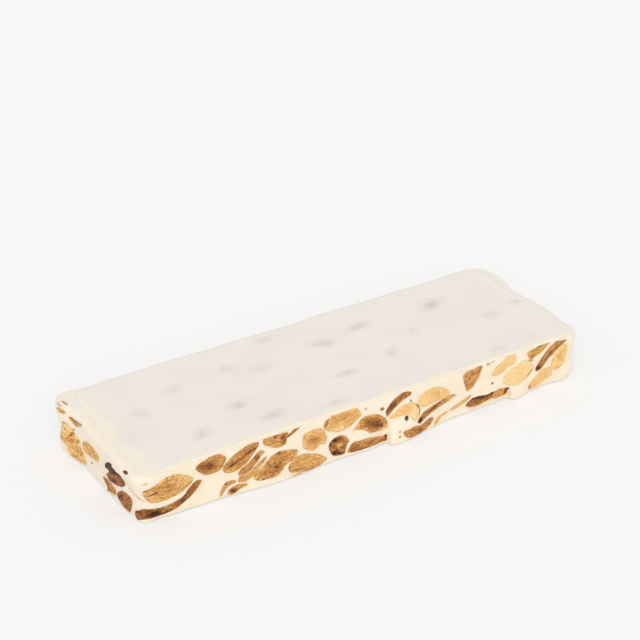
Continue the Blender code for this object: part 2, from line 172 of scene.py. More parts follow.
# Corners of each almond's cut face on the front, along and up in mm. They are measured
# on a flat front of the bar; seen_spot carries them on to the real, uneven front.
FRONT_OUTLINES = (
    ((-97.3, 14.5), (-92.5, 15.3), (-88.5, 16.9), (-84.0, 17.5), (-80.0, 15.8), (-76.2, 12.7),
     (-79.5, 9.4), (-84.0, 7.8), (-88.5, 7.3), (-92.5, 7.8), (-95.6, 10.2)),
    ((-72.6, 10.6), (-75.0, 11.6), (-78.0, 9.6), (-80.5, 6.8), (-83.5, 5.6), (-87.0, 5.0),
     (-91.0, 5.0), (-94.4, 5.8), (-97.4, 7.0), (-100.0, 7.2), (-100.6, 5.0), (-99.0, 2.8),
     (-96.0, 1.6), (-92.0, 1.1), (-88.0, 1.2), (-84.0, 1.8), (-80.8, 3.2), (-77.6, 5.0),
     (-74.4, 7.8)),
    ((-75.1, 16.6), (-74.0, 18.4), (-71.0, 19.2), (-68.0, 20.1), (-65.5, 19.8), (-63.2, 18.2),
     (-62.3, 16.6), (-63.5, 14.2), (-65.0, 12.6), (-68.0, 12.1), (-71.0, 12.5), (-73.0, 14.0)),
    ((-61.5, 15.6), (-58.0, 17.8), (-54.0, 19.2), (-51.5, 19.6), (-48.6, 19.2), (-48.4, 18.0),
     (-50.0, 15.6), (-52.0, 13.3), (-55.0, 10.9), (-57.5, 9.8), (-60.5, 9.6), (-63.0, 10.6),
     (-64.0, 12.4), (-63.0, 14.4)),
    ((-46.0, 13.6), (-47.4, 15.1), (-49.6, 14.5), (-51.2, 12.9), (-53.9, 11.1), (-57.0, 9.3),
     (-57.4, 7.3), (-54.0, 6.9), (-51.2, 8.6), (-48.9, 10.6), (-47.7, 12.6)),
    ((-45.2, 11.6), (-48.0, 10.5), (-51.0, 8.4), (-54.0, 6.7), (-56.9, 6.7), (-57.5, 4.3),
     (-54.4, 3.4), (-52.0, 4.2), (-49.9, 5.8), (-48.0, 8.0), (-45.8, 9.6)),
    ((-65.4, 0.2), (-65.2, 3.0), (-64.0, 5.2), (-62.6, 6.3), (-60.0, 6.1), (-58.2, 5.0),
     (-59.4, 4.4), (-61.4, 4.0), (-62.8, 3.0), (-64.2, 1.4)),
    ((-62.3, 0.2), (-61.8, 2.0), (-60.2, 3.0), (-57.5, 3.3), (-55.0, 2.8), (-53.8, 2.2),
     (-53.9, 1.4), (-56.5, 0.9), (-58.6, -0.1), (-60.6, -0.4)),
    ((-51.0, 4.4), (-49.5, 6.2), (-46.0, 8.6), (-43.4, 10.7), (-40.0, 11.9), (-36.5, 11.3),
     (-33.2, 10.4), (-31.6, 9.2), (-31.8, 7.6), (-33.6, 6.0), (-36.4, 4.6), (-38.3, 2.6),
     (-40.3, 0.9), (-44.5, 0.9), (-47.8, 1.3), (-50.0, 2.4)),
    ((-35.8, 2.6), (-34.8, 4.8), (-32.8, 6.6), (-29.0, 6.9), (-26.0, 5.9), (-22.4, 4.4),
     (-20.0, 2.4), (-18.6, 0.9), (-20.4, -0.6), (-24.2, -1.6), (-28.0, -1.6), (-32.0, -0.5),
     (-34.6, 0.2)),
    ((-46.8, 18.8), (-46.2, 20.2), (-43.0, 20.3), (-38.0, 20.0), (-35.6, 19.0), (-36.4, 16.7),
     (-36.6, 14.8), (-38.4, 13.5), (-41.5, 14.0), (-44.0, 15.6), (-46.0, 17.0)),
    ((-29.5, 11.6), (-29.0, 15.4), (-27.0, 16.2), (-23.4, 16.4), (-20.4, 15.2), (-19.2, 12.8),
     (-18.4, 10.4), (-19.4, 8.2), (-21.2, 8.6), (-22.8, 7.6), (-24.6, 6.8), (-26.6, 7.8),
     (-28.6, 9.0)),
    ((-19.9, 15.6), (-20.0, 17.6), (-18.4, 18.9), (-16.0, 20.2), (-12.6, 20.6), (-9.5, 20.2),
     (-5.6, 19.8), (-3.8, 17.6), (-3.1, 15.8), (-5.0, 14.0), (-8.0, 12.4), (-12.4, 11.6),
     (-16.0, 12.6), (-18.8, 14.0)),
    ((-17.8, 6.5), (-17.0, 8.3), (-15.0, 9.4), (-12.6, 9.6), (-10.4, 8.6), (-9.2, 7.0),
     (-8.4, 5.6), (-9.4, 4.0), (-10.0, 2.0), (-10.6, 0.4), (-13.2, 0.4), (-15.6, 1.2),
     (-17.0, 3.4)),
    ((-6.9, 9.7), (-5.0, 11.9), (-3.0, 14.0), (0.0, 14.4), (3.2, 13.9), (6.0, 12.5),
     (8.0, 10.6), (9.0, 8.4), (8.8, 6.0), (7.0, 5.2), (4.6, 5.6), (1.4, 5.8), (-0.2, 7.2),
     (-2.6, 8.8), (-5.0, 9.5)),
    ((-9.2, 0.8), (-8.4, 2.6), (-6.6, 4.2), (-4.0, 4.0), (-0.6, 4.1), (3.0, 3.4), (6.4, 2.7),
     (8.8, 2.8), (9.0, 0.6), (8.6, -0.5), (5.0, -0.5), (1.0, -0.7), (-4.0, -0.6), (-7.4, -0.2)),
    ((8.9, 10.8), (8.2, 13.4), (10.0, 16.0), (12.4, 18.2), (15.4, 19.6), (17.4, 19.7),
     (19.8, 18.6), (20.0, 17.4), (17.6, 16.4), (14.6, 15.0), (11.8, 13.2), (9.8, 11.2)),
    ((9.8, 9.7), (12.0, 11.4), (15.0, 13.2), (18.4, 13.8), (21.4, 13.0), (23.4, 11.4),
     (24.4, 9.6), (24.6, 7.4), (24.0, 5.2), (22.2, 4.4), (20.8, 6.0), (19.0, 8.2), (16.0, 9.0),
     (12.6, 9.0)),
    ((23.4, 13.2), (24.6, 15.4), (27.0, 16.6), (30.4, 17.2), (33.6, 16.4), (36.4, 14.6),
     (38.2, 12.4), (38.4, 11.0), (36.8, 10.3), (34.0, 10.3), (30.0, 10.0), (27.6, 9.6),
     (25.4, 10.2), (24.0, 11.6)),
    ((23.4, 3.2), (24.4, 5.1), (26.2, 7.1), (29.5, 8.4), (33.3, 9.5), (37.3, 10.5),
     (40.6, 10.6), (41.6, 9.7), (39.1, 8.6), (35.5, 7.5), (31.8, 6.2), (28.9, 4.8),
     (26.9, 3.5), (25.0, 2.2)),
    ((16.8, 1.0), (17.4, -0.6), (18.4, -2.2), (20.6, -3.2), (23.4, -3.3), (26.0, -2.6),
     (28.6, -1.0), (30.4, 0.6), (31.2, 2.2), (30.6, 3.2), (28.8, 3.3), (26.8, 2.2), (25.0, 1.3),
     (22.4, 1.8), (19.6, 1.3)),
    ((45.0, 18.4), (47.4, 19.5), (50.6, 19.6), (54.0, 19.7), (53.6, 17.4), (52.6, 14.6),
     (50.6, 11.6), (48.4, 10.0), (47.2, 9.8), (46.2, 12.2), (45.2, 14.6), (44.9, 16.8)),
    ((38.6, 3.3), (40.6, 4.9), (43.0, 5.9), (46.0, 6.8), (48.4, 7.8), (49.4, 7.0), (48.4, 5.8),
     (46.0, 4.7), (43.0, 3.7), (40.6, 3.1)),
    ((46.6, 3.2), (49.4, 5.5), (53.0, 5.6), (57.0, 5.1), (60.6, 5.4), (62.6, 5.2), (62.8, 3.6),
     (62.2, 2.0), (57.6, 1.0), (53.8, 0.4), (50.0, 0.8)),
    ((61.0, 5.2), (63.4, 5.6), (66.0, 5.2), (67.9, 4.8), (67.9, 1.7), (64.6, 1.2), (61.0, 1.4),
     (60.6, 3.4)),
    ((58.8, 13.8), (60.6, 16.4), (63.4, 18.2), (67.0, 20.0), (69.8, 20.0), (71.2, 18.2),
     (70.4, 15.6), (67.6, 14.8), (64.6, 13.2), (62.4, 12.4)),
    ((65.2, 8.2), (65.4, 11.4), (67.8, 13.4), (70.6, 14.0), (73.0, 14.8), (75.0, 15.4),
     (78.0, 14.0), (79.6, 12.0), (80.0, 10.2), (78.6, 8.6), (76.0, 6.4), (73.6, 4.9),
     (70.4, 5.2), (67.4, 6.4)),
    ((78.0, 1.6), (79.0, 3.8), (81.6, 5.4), (83.6, 7.4), (86.0, 8.4), (88.6, 7.8), (89.6, 6.0),
     (89.4, 3.6), (87.0, 2.8), (84.4, 1.6), (81.4, 0.6), (79.0, 0.4)),
    ((76.4, 18.6), (79.0, 19.3), (82.0, 20.4), (86.0, 21.6), (88.2, 21.2), (88.8, 20.2),
     (86.4, 18.6), (84.0, 16.6), (81.6, 15.8), (79.4, 14.8), (77.4, 16.0)),
    ((81.1, 9.4), (82.3, 11.7), (85.1, 15.2), (88.3, 18.1), (91.4, 20.1), (94.0, 21.9),
     (95.9, 22.3), (96.8, 20.4), (95.6, 17.4), (92.9, 15.9), (89.8, 13.5), (86.7, 11.1),
     (84.4, 8.6), (82.2, 7.9)),
    ((89.4, 6.6), (89.2, 9.6), (90.4, 12.6), (92.6, 14.6), (94.6, 16.4), (96.4, 16.8),
     (97.2, 14.0), (96.8, 11.0), (96.2, 8.0), (94.0, 6.0), (91.4, 5.6)),
)

# The same for the left end, measured from the back to the front.
LEFT_OUTLINES = (
    ((-34.0, 2.0), (-31.6, 5.0), (-32.0, 8.4), (-29.0, 10.8), (-25.0, 11.4), (-20.6, 10.8),
     (-16.6, 10.2), (-14.0, 8.8), (-12.4, 6.0), (-10.0, 4.2), (-10.4, 1.6), (-15.0, -1.0),
     (-20.0, -3.0), (-25.0, -2.6), (-31.0, 0.2)),
    ((-12.6, 9.8), (-9.6, 12.8), (-6.0, 14.0), (-1.0, 13.8), (2.6, 12.6), (1.0, 9.6),
     (-3.6, 8.4), (-8.4, 7.4), (-11.4, 7.0)),
    ((-25.0, 15.2), (-21.0, 17.2), (-16.6, 18.0), (-11.4, 19.2), (-14.6, 16.6), (-18.0, 14.8),
     (-22.6, 14.4)),
    ((8.0, 8.2), (10.4, 10.4), (13.4, 12.6), (17.0, 14.7), (21.4, 15.4), (25.0, 14.6),
     (23.0, 11.6), (18.6, 9.2), (13.0, 7.2), (9.4, 7.0)),
    ((4.4, 4.8), (8.0, 6.4), (13.0, 6.8), (16.4, 6.2), (15.6, 3.4), (12.0, 1.8), (8.4, 1.4),
     (7.0, 3.0)),
    ((16.6, 3.8), (19.0, 7.2), (22.0, 9.2), (26.0, 10.4), (30.0, 10.2), (29.6, 7.0),
     (28.0, 3.6), (25.0, 1.8), (20.0, 2.0)),
)

# Soft marks on the cut faces, measured as the outlines are: along, up, length, width,
# tilt in degrees, change of tone. Most are the almonds' own streaks and darker patches. The
# dark lines at 8.5 and 67 mm by the steep flanks, and along 50 to 60 mm under the
# nougat's overhang, are painted shade.
FRONT_MARKS = (
    (-92.6, 12.0, 2.8, 0.8, 15, -0.40), (-96.0, 14.4, 3.4, 0.6, 10, -0.25),
    (-87.5, 13.6, 8.0, 1.3, -10, -0.15), (-81.0, 14.2, 8.0, 4.0, -15, 0.10),
    (-86.5, 11.2, 2.6, 0.9, -15, -0.22), (-90.0, 9.2, 9.0, 3.0, -8, 0.07),
    (-92.6, 2.8, 4.4, 2.2, -10, -0.40), (-95.0, 4.8, 3.4, 1.6, -40, -0.20),
    (-80.6, 4.2, 2.6, 1.6, 10, -0.30), (-79.6, 7.2, 5.0, 2.0, 38, -0.20),
    (-88.0, 1.7, 5.0, 0.9, 0, -0.28), (-86.6, 3.4, 4.2, 1.2, -35, 0.20),
    (-96.4, 6.4, 2.0, 1.6, 0, 0.15), (-98.6, 5.8, 1.4, 1.6, 0, -0.25),
    (-70.4, 16.0, 6.0, 2.6, -15, -0.22), (-64.8, 17.0, 3.6, 5.0, 0, 0.10),
    (-68.0, 13.0, 7.0, 1.6, 5, 0.09), (-59.6, 13.1, 4.8, 0.9, 24, -0.48),
    (-53.6, 15.6, 8.0, 0.9, 22, -0.22), (-55.0, 17.8, 10.0, 1.6, 18, -0.07),
    (-61.6, 11.4, 3.0, 3.6, 0, 0.10), (-49.3, 12.2, 2.2, 2.6, 60, -0.22),
    (-47.2, 13.9, 2.0, 1.4, 0, 0.12), (-63.0, 5.5, 1.8, 0.9, -30, -0.35),
    (-59.8, 1.3, 3.4, 1.9, -20, -0.40), (-61.7, 0.6, 1.2, 1.6, 0, 0.15),
    (-42.0, 5.4, 9.0, 3.0, 28, -0.13), (-46.6, 1.4, 1.4, 0.8, 20, -0.38),
    (-38.4, 10.6, 6.0, 1.5, -15, -0.12), (-40.4, 4.9, 2.4, 2.0, 0, -0.16),
    (-34.4, 8.8, 3.4, 2.4, 0, 0.06), (-31.4, 0.7, 6.4, 1.2, -8, -0.28),
    (-26.0, -1.0, 7.0, 1.2, 0, -0.16), (-35.4, 2.6, 0.9, 3.4, -10, -0.25),
    (-41.3, 19.2, 1.5, 1.5, 0, -0.38), (-38.0, 17.8, 2.2, 1.3, 10, -0.38),
    (-37.3, 15.5, 2.2, 2.6, 0, -0.20), (-37.0, 18.9, 4.0, 0.7, -10, -0.20),
    (-24.6, 11.6, 4.8, 3.6, -20, -0.22), (-28.7, 14.4, 0.9, 2.4, 0, -0.15),
    (-24.4, 8.0, 2.2, 1.0, 0, -0.13), (-19.1, 17.0, 3.6, 1.2, 62, -0.30),
    (-11.0, 17.6, 9.0, 3.0, -5, -0.07), (-12.0, 20.2, 3.0, 0.8, 0, -0.16),
    (-14.0, 14.0, 8.0, 3.0, 0, 0.07), (-14.2, 8.2, 5.4, 1.8, 5, -0.25),
    (-15.2, 2.2, 2.6, 2.4, 0, -0.34), (-12.4, 1.4, 4.0, 1.2, -18, -0.30),
    (-13.2, 5.2, 3.2, 1.8, 10, 0.26), (-17.2, 6.2, 1.1, 3.6, 0, -0.22),
    (2.6, 10.0, 8.6, 4.2, -35, -0.27), (6.4, 8.0, 1.2, 2.8, 10, -0.22),
    (-4.8, 10.8, 3.2, 2.0, 30, 0.12), (7.4, 6.0, 3.0, 1.6, 0, 0.22),
    # Painted shade: the dark line at 8.5 mm, where the almond meets the steep flank.
    (8.5, 1.4, 0.9, 3.4, 0, -0.38), (-6.0, 1.2, 4.0, 1.1, 10, -0.13),
    (-3.0, -0.2, 9.0, 0.9, 0, -0.20), (5.0, 1.6, 5.0, 2.0, 0, 0.07),
    (11.4, 14.8, 4.4, 3.0, 40, -0.18), (16.0, 16.6, 6.0, 0.9, 22, 0.14),
    (23.3, 11.2, 3.6, 0.9, -55, -0.55), (24.3, 8.2, 0.8, 3.0, 0, -0.35),
    (21.8, 7.6, 5.0, 6.0, 0, 0.12), (32.8, 13.4, 1.6, 3.6, 0, -0.10),
    (27.0, 12.6, 5.0, 3.6, 0, 0.05), (24.7, 3.7, 2.8, 2.0, 45, -0.42),
    (30.4, 7.3, 7.0, 0.8, 20, -0.22), (39.0, 9.6, 4.6, 1.4, 5, 0.24),
    (25.2, -1.0, 1.8, 4.4, -20, -0.14), (20.0, -1.6, 3.4, 2.0, 0, 0.07),
    (52.0, 17.6, 5.0, 1.0, 8, -0.22), (46.4, 13.4, 1.2, 4.0, 15, -0.12),
    (51.8, 12.6, 0.8, 6.0, -28, -0.25), (49.6, 15.0, 3.0, 2.2, 0, 0.08),
    # Painted shade: the dark lines along 50 to 60 mm under the nougat's overhang, and the one at
    # 67 mm by the flank.
    (54.0, 4.9, 9.6, 1.6, -3, -0.42), (50.4, 5.0, 2.4, 1.0, 0, -0.30),
    (60.3, 4.4, 1.2, 1.8, 0, -0.45), (56.0, 3.5, 7.0, 1.6, 0, -0.16),
    (54.0, 1.3, 9.0, 0.8, 0, 0.18), (67.1, 3.2, 0.9, 3.2, 0, -0.60),
    (64.0, 2.6, 4.0, 1.0, 0, 0.08), (77.3, 7.5, 7.0, 0.8, 42, -0.55),
    (74.2, 12.4, 0.7, 4.4, 10, -0.09), (78.4, 1.4, 1.4, 2.2, -20, -0.34),
    (83.4, 19.9, 7.0, 0.8, 18, -0.32), (79.2, 16.2, 2.4, 1.8, 0, -0.13),
    (82.6, 9.4, 3.0, 1.9, 20, -0.36), (90.2, 16.0, 8.0, 1.0, 40, -0.22),
    (86.2, 12.6, 5.0, 0.9, 42, -0.20), (94.0, 19.0, 2.6, 3.0, 0, -0.08),
    (92.6, 6.6, 3.4, 1.3, 0, -0.13), (93.6, 11.0, 1.6, 3.4, 20, -0.09),
)
LEFT_MARKS = (
    (-22.0, 9.0, 4.6, 0.9, 48, -0.45), (-15.8, 9.4, 1.6, 0.9, 40, -0.50),
    (-11.6, 10.4, 3.6, 1.2, 30, -0.32), (-26.0, 4.4, 8.0, 1.3, 15, -0.18),
    (-18.0, 3.4, 7.0, 1.2, 10, -0.16), (-29.0, 7.8, 4.0, 2.4, 30, -0.12),
    (-20.0, 17.0, 8.0, 1.2, 10, -0.15), (18.4, 14.6, 9.0, 0.9, 8, -0.30),
    (14.0, 9.0, 5.0, 1.3, 20, -0.22), (16.0, 11.4, 8.0, 2.0, 20, 0.08),
    (21.0, 6.0, 3.2, 3.6, 20, -0.20), (18.4, 4.4, 2.6, 1.8, 0, -0.25),
    (8.0, 4.2, 4.0, 1.6, -20, -0.20), (10.4, 2.4, 2.6, 1.4, 0, -0.20),
)

# Small holes in the nougat, darkened with painted shade: side, along, up, length, width, tilt,
# depth in mm.
HOLES = (
    ("front", 18.6, 6.5, 1.9, 2.5, 10, 1.4), ("front", 59.8, 9.4, 1.5, 1.1, 40, 0.9),
    ("front", 67.9, 3.4, 0.7, 3.4, 0, 1.0), ("left", 24.6, 18.8, 4.2, 1.6, 20, 1.2),
    ("left", -21.6, 10.6, 3.0, 1.0, 50, 0.8), ("left", -5.5, 5.2, 1.7, 1.1, 30, 0.5),
)

# Small pieces of almond: side, along, up, length, width, tilt, tone.
CHIPS = (
    ("left", 34.0, 5.6, 2.6, 4.4, -10, 0.30), ("front", -31.6, -2.2, 4.8, 1.5, -10, 0.66),
    ("front", -33.0, 18.9, 9.6, 1.5, 27, 0.40),
    ("front", -1.0, 17.8, 1.0, 1.0, 0, 0.50), ("front", 6.6, 15.3, 2.0, 1.4, -20, 0.42),
    ("front", 15.2, 1.5, 1.1, 0.7, -35, 0.40), ("front", 15.2, -0.9, 1.3, 0.7, -30, 0.36),
    ("front", 36.4, 3.0, 3.6, 1.3, 18, 0.70), ("front", 33.2, 1.2, 5.4, 2.0, 35, 0.68),
    ("front", 57.2, 19.5, 2.0, 1.3, 10, 0.60), ("front", 59.2, 20.3, 1.4, 1.0, 0, 0.60),
    ("front", 20.0, 14.5, 1.5, 0.7, -60, 0.45), ("front", -96.0, 17.4, 1.2, 1.0, 0, 0.78),
    ("left", 10.6, 13.5, 8.0, 2.9, 34, 0.04), ("left", 13.8, 13.0, 8.2, 3.2, 20, 0.10),
    ("left", 8.5, 0.9, 1.8, 0.9, 30, 0.50), ("left", -33.0, 16.9, 1.8, 1.2, 0, 0.52),
    ("left", -32.6, 13.8, 2.6, 2.0, 30, 0.56),
    ("left", 30.4, 14.2, 10.5, 0.9, -42, 0.76), ("front", 78.4, 14.4, 2.8, 1.4, -20, 0.62),
)

# Two lumps of the front end in a steep left flank: place, highest point, step.
# Each flank rises over twice FLANK_HALF.
FLANKS = ((8.6, 13.0, 1.3), (68.3, 6.5, 1.2))
FLANK_HALF = 0.35
# Where the side stands out more or less, in bar places: along, across, spread along the
# strip, height, spread in height, amount in mm.
SWELLS = (
    (-100.0, 33.4, 2.4, 19.0, 8.0, 4.2), (-100.0, 33.4, 4.0, 6.0, 3.0, -0.8),
    (-100.0, 26.0, 5.5, 3.0, 5.0, 2.8),
    (-100.0, -33.4, 1.8, 0.0, 4.0, 2.4), (100.0, -33.4, 4.0, 19.0, 6.0, 2.2),
    (100.0, -33.4, 3.2, 4.6, 3.4, 2.5), (100.0, 17.0, 4.5, 19.0, 8.0, 1.5),
    (100.0, -26.0, 3.0, 20.0, 6.0, 0.9), (100.0, -19.0, 1.6, 20.0, 6.0, -0.6),
    (30.0, -33.4, 26.0, 0.0, 1.6, 0.7), (-62.0, -33.4, 20.0, 0.0, 1.6, 0.4),
)

# Grey spots where an almond shows faintly through the upper sheet, in bar places:
# along, across, length, width, turn, strength.
SPOTS = (
    (64, 17, 10, 6, 25, 1.0), (27, 17, 9, 5, 10, 0.95), (8, 13, 9, 5, -20, 0.9),
    (-60, 14, 8, 5, 15, 0.55), (-44, -9, 8, 5, 0, 0.85), (-65, -19, 8, 6, 40, 0.8),
    (-36, -22, 9, 5, 10, 0.95), (4, -11, 9, 4, 0, 0.9), (-10, -27, 8, 4, 0, 0.6),
    (66, -27, 9, 4, 15, 0.5), (28, -7, 8, 5, 30, 0.6), (-22, 10, 8, 5, 0, 0.5),
    (95, 0, 6, 5, 0, 0.5), (80, -3, 8, 5, -20, 0.5), (-35, 17, 8, 5, 0, 0.5),
    (-12, 28, 8, 5, 10, 0.5), (45, 3, 8, 5, 60, 0.4), (-78, 5, 8, 5, -30, 0.4),
)


def srgb(colour):
    """A colour as the shaders want it, with alpha."""
    linear = [c / 12.92 if c <= 0.04045 else ((c + 0.055) / 1.055) ** 2.4 for c in colour]
    return (*linear, 1.0)


def smoothstep(low, high, value):
    """Ease from 0 at low to 1 at high; low may be the larger one."""
    t = np.clip((value - low) / (high - low), 0.0, 1.0)
    return t * t * (3.0 - 2.0 * t)


def bell(value, spread):
    """Height of a bell curve at this distance from its middle."""
    return np.exp(-0.5 * (value / spread) ** 2)


def turned(across, up, degrees):
    """Two lengths turned by an angle."""
    angle = math.radians(degrees)
    return (across * math.cos(angle) - up * math.sin(angle),
            across * math.sin(angle) + up * math.cos(angle))


def blended(table, columns, rows, mix_a, mix_b):
    """A table read between two of its columns and two of its rows."""
    under = table[columns[0], rows[0]] * (1 - mix_a) + table[columns[1], rows[0]] * mix_a
    over = table[columns[0], rows[1]] * (1 - mix_a) + table[columns[1], rows[1]] * mix_a
    return under * (1 - mix_b) + over * mix_b


def soft_noise(a, b, cell, seed, period=0.0):
    """Smooth noise from -1 to 1 over a plane, closed along a where a period is given."""
    wide, high = NOISE_CELLS
    table = np.random.default_rng(seed).uniform(-1.0, 1.0, NOISE_CELLS)
    turns = max(round(period / cell), 1) if period else wide
    step = period / turns if period else cell
    grid_a, grid_b = a / step, b / cell
    low_a, low_b = np.floor(grid_a).astype(int), np.floor(grid_b).astype(int)
    mix_a = smoothstep(0.0, 1.0, grid_a - low_a)
    mix_b = smoothstep(0.0, 1.0, grid_b - low_b)
    columns = (low_a % turns % wide, (low_a + 1) % turns % wide)
    return blended(table, columns, (low_b % high, (low_b + 1) % high), mix_a, mix_b)


def smooth_grid(grid, spread_a, spread_b):
    """Blur a grid that is closed along its first side."""
    reach = 4
    offsets = np.arange(-reach, reach + 1)
    weights_a, weights_b = bell(offsets, spread_a), bell(offsets, spread_b)
    padded = np.pad(grid, ((reach, reach), (0, 0)), mode="wrap")
    grid = sum(w * padded[k:k + grid.shape[0]] for k, w in enumerate(weights_a))
    grid = grid / weights_a.sum()
    padded = np.pad(grid, ((0, 0), (reach, reach)), mode="edge")
    grid = sum(w * padded[:, k:k + grid.shape[1]] for k, w in enumerate(weights_b))
    return grid / weights_b.sum()


def close_gaps(grid):
    """Fill narrow gaps in a grid of reaches, which is closed along its first side."""
    padded = np.pad(grid, ((1, 1), (0, 0)), mode="wrap")
    padded = np.pad(padded, ((0, 0), (1, 1)), mode="edge")
    shifted = [padded[i:i + grid.shape[0], j:j + grid.shape[1]]
               for i in range(3) for j in range(3)]
    return np.percentile(shifted, 70, axis=0)


def corner_round(height, radius_up, radius_in):
    """How far a side draws in at this height above a rounded edge."""
    t = np.clip(1.0 - height / radius_up, 0.0, 1.0)
    return radius_in * (1.0 - np.sqrt(1.0 - t * t))


class SideStrip:
    """The bar's side as a strip: a place along it, a height and a depth, all in mm.

    The strip starts at the left of the front side and runs to the right end, the back,
    the left end and back to the front, with a round corner after each side.
    """

    def __init__(self, solids):
        """Lay the path inside the CAD's box and read the solids' sides."""
        low, high = cad_box
        self.half = [(high[i] - low[i]) / 2 / MM - PATH_INSET for i in (0, 1)]
        self.height = high[2] / MM
        straight = [2 * (half - PATH_RADIUS) for half in self.half]
        corner = 0.5 * math.pi * PATH_RADIUS
        self.lengths = [straight[0], corner, straight[1], corner] * 2
        self.starts = np.concatenate(([0.0], np.cumsum(self.lengths)))
        self.total = self.starts[-1]
        self.read_frame(solids)

    def path(self, along):
        """Points of the path and its outward directions."""
        along = np.asarray(along, float) % self.total
        index = np.clip(np.searchsorted(self.starts, along, "right") - 1, 0, 7)
        local = along - self.starts[index]
        inner_x, inner_y = self.half[0] - PATH_RADIUS, self.half[1] - PATH_RADIUS
        quarter = index // 2
        angle = (quarter - 1) * 0.5 * math.pi + np.where(index % 2, local / PATH_RADIUS, 0.0)
        normal_x, normal_y = np.cos(angle), np.sin(angle)
        centre_x = np.array([inner_x, inner_x, -inner_x, -inner_x])[quarter]
        centre_y = np.array([-inner_y, inner_y, inner_y, -inner_y])[quarter]
        left_over = np.where(index % 2, 0.0, np.array(self.lengths)[index] - local)
        x = centre_x + PATH_RADIUS * normal_x + left_over * normal_y
        y = centre_y + PATH_RADIUS * normal_y - left_over * normal_x
        return x, y, normal_x, normal_y

    def place(self, x, y):
        """Where along the strip a point beside the bar lies."""
        x, y = np.asarray(x, float), np.asarray(y, float)
        inner_x, inner_y = self.half[0] - PATH_RADIUS, self.half[1] - PATH_RADIUS
        off_x = x - np.clip(x, -inner_x, inner_x)
        off_y = y - np.clip(y, -inner_y, inner_y)
        angle = np.arctan2(off_y, off_x)
        turn = (angle + 0.5 * math.pi) % (2 * math.pi)
        quarter = np.floor(turn / (0.5 * math.pi) + 1e-9).astype(int) % 4
        in_corner = (np.abs(off_x) > 1e-9) & (np.abs(off_y) > 1e-9)
        part = turn - quarter * 0.5 * math.pi
        corner = self.starts[2 * quarter + 1] + PATH_RADIUS * part
        straight = np.choose(quarter, (x + inner_x, y + inner_y, inner_x - x, inner_y - y))
        return np.where(in_corner, corner, self.starts[2 * quarter] + straight)

    def read_frame(self, solids):
        """Read how far the frame's solids reach beyond the path, on a coarse grid."""
        vertices, faces = [], []
        for solid in solids:
            start = len(vertices)
            vertices += [v.co / MM for v in solid.data.vertices]
            faces += [[start + i for i in p.vertices] for p in solid.data.polygons]
        tree = BVHTree.FromPolygons(vertices, faces)
        self.columns = round(self.total / SAMPLE_STEP)
        self.levels = np.arange(SAMPLE_MARGIN, self.height - SAMPLE_MARGIN, SAMPLE_STEP)
        reach = np.zeros((self.columns, len(self.levels)))
        path = self.path(np.arange(self.columns) * self.total / self.columns)
        for i, (x, y, normal_x, normal_y) in enumerate(zip(*path)):
            inward = Vector((-normal_x, -normal_y, 0.0))
            for j, z in enumerate(self.levels):
                start = Vector((x, y, z)) - inward * RAY_START
                distance = tree.ray_cast(start, inward)[3]
                reach[i, j] = RAY_START - distance
        self.reach = smooth_grid(close_gaps(reach), SAMPLE_BLUR, SAMPLE_BLUR)

    def reach_at(self, along, z):
        """How far the smoothed side stands outside the path."""
        column = (np.asarray(along, float) % self.total) * self.columns / self.total
        row = np.clip((np.asarray(z, float) - self.levels[0]) / SAMPLE_STEP,
                      0.0, len(self.levels) - 1.001)
        first, low = np.floor(column).astype(int), np.floor(row).astype(int)
        columns = (first % self.columns, (first + 1) % self.columns)
        return blended(self.reach, columns, (low, low + 1), column - first, row - low)

    def points(self, along, z, out):
        """Points in metres at this place, height and depth, out being outwards."""
        x, y, normal_x, normal_y = self.path(along)
        reach = self.reach_at(along, z) + side_detail(self, along, z) + out
        left = left_share(self, along)
        reach -= corner_round(self.height - SHEET_THICK - z, TOP_ROUND + LEFT_ROUND_UP * left,
                              TOP_ROUND + LEFT_ROUND_IN * left)
        reach -= corner_round(z - SHEET_THICK, FOOT_ROUND, FOOT_ROUND)
        return np.stack([x + normal_x * reach, y + normal_y * reach, z], -1) * MM

    def near(self, along, middle):
        """The same places, counted so that they lie close to a given place."""
        return middle + (along - middle + 0.5 * self.total) % self.total - 0.5 * self.total

    def away(self, along, middle):
        """How far places lie from a given place, below zero before it."""
        return self.near(np.asarray(along), middle) - middle

    def from_bar(self, x, y):
        """Where along the strip a spot of the bar lies."""
        return float(self.place(x + BAR_MIDDLE[0], y + BAR_MIDDLE[1]))

    def seen_spot(self, side, along, height):
        """Place and height of a spot measured on a flat side, along the line of sight."""
        half_x, half_y = BAR_HALF
        x, y = (along, -half_y) if side == "front" else (-half_x, -along)
        spot = np.array(Vector((x, y, height)) + Vector((*BAR_MIDDLE, BAR_FOOT)))
        sight = np.array(camera_place()) / MM - spot
        sight /= np.linalg.norm(sight)
        for _ in range(SIGHT_STEPS):
            at = float(self.place(spot[0], spot[1]))
            level = float(np.clip(spot[2], 0.9, self.height - 0.9))
            surface = self.points(np.array(at), np.array(level), 0.0) / MM
            _, _, normal_x, normal_y = self.path(at)
            gap = (surface[0] - spot[0]) * normal_x + (surface[1] - spot[1]) * normal_y
            facing = max(sight[0] * normal_x + sight[1] * normal_y, LEAST_FACING)
            step = np.clip(SIGHT_SHARE * gap / facing, -SIGHT_LIMIT, SIGHT_LIMIT)
            spot = spot + sight * step
        at = float(self.place(spot[0], spot[1]))
        low, high = self.starts[5] + LEFT_START, self.total + LEFT_REACH
        if side == "front":
            low, high = -FRONT_REACH, self.starts[1] + FRONT_REACH
        at = float(np.clip(self.near(at, 0.5 * (low + high)), low, high))
        return at, float(np.clip(spot[2], 1.0, self.height - 0.75))


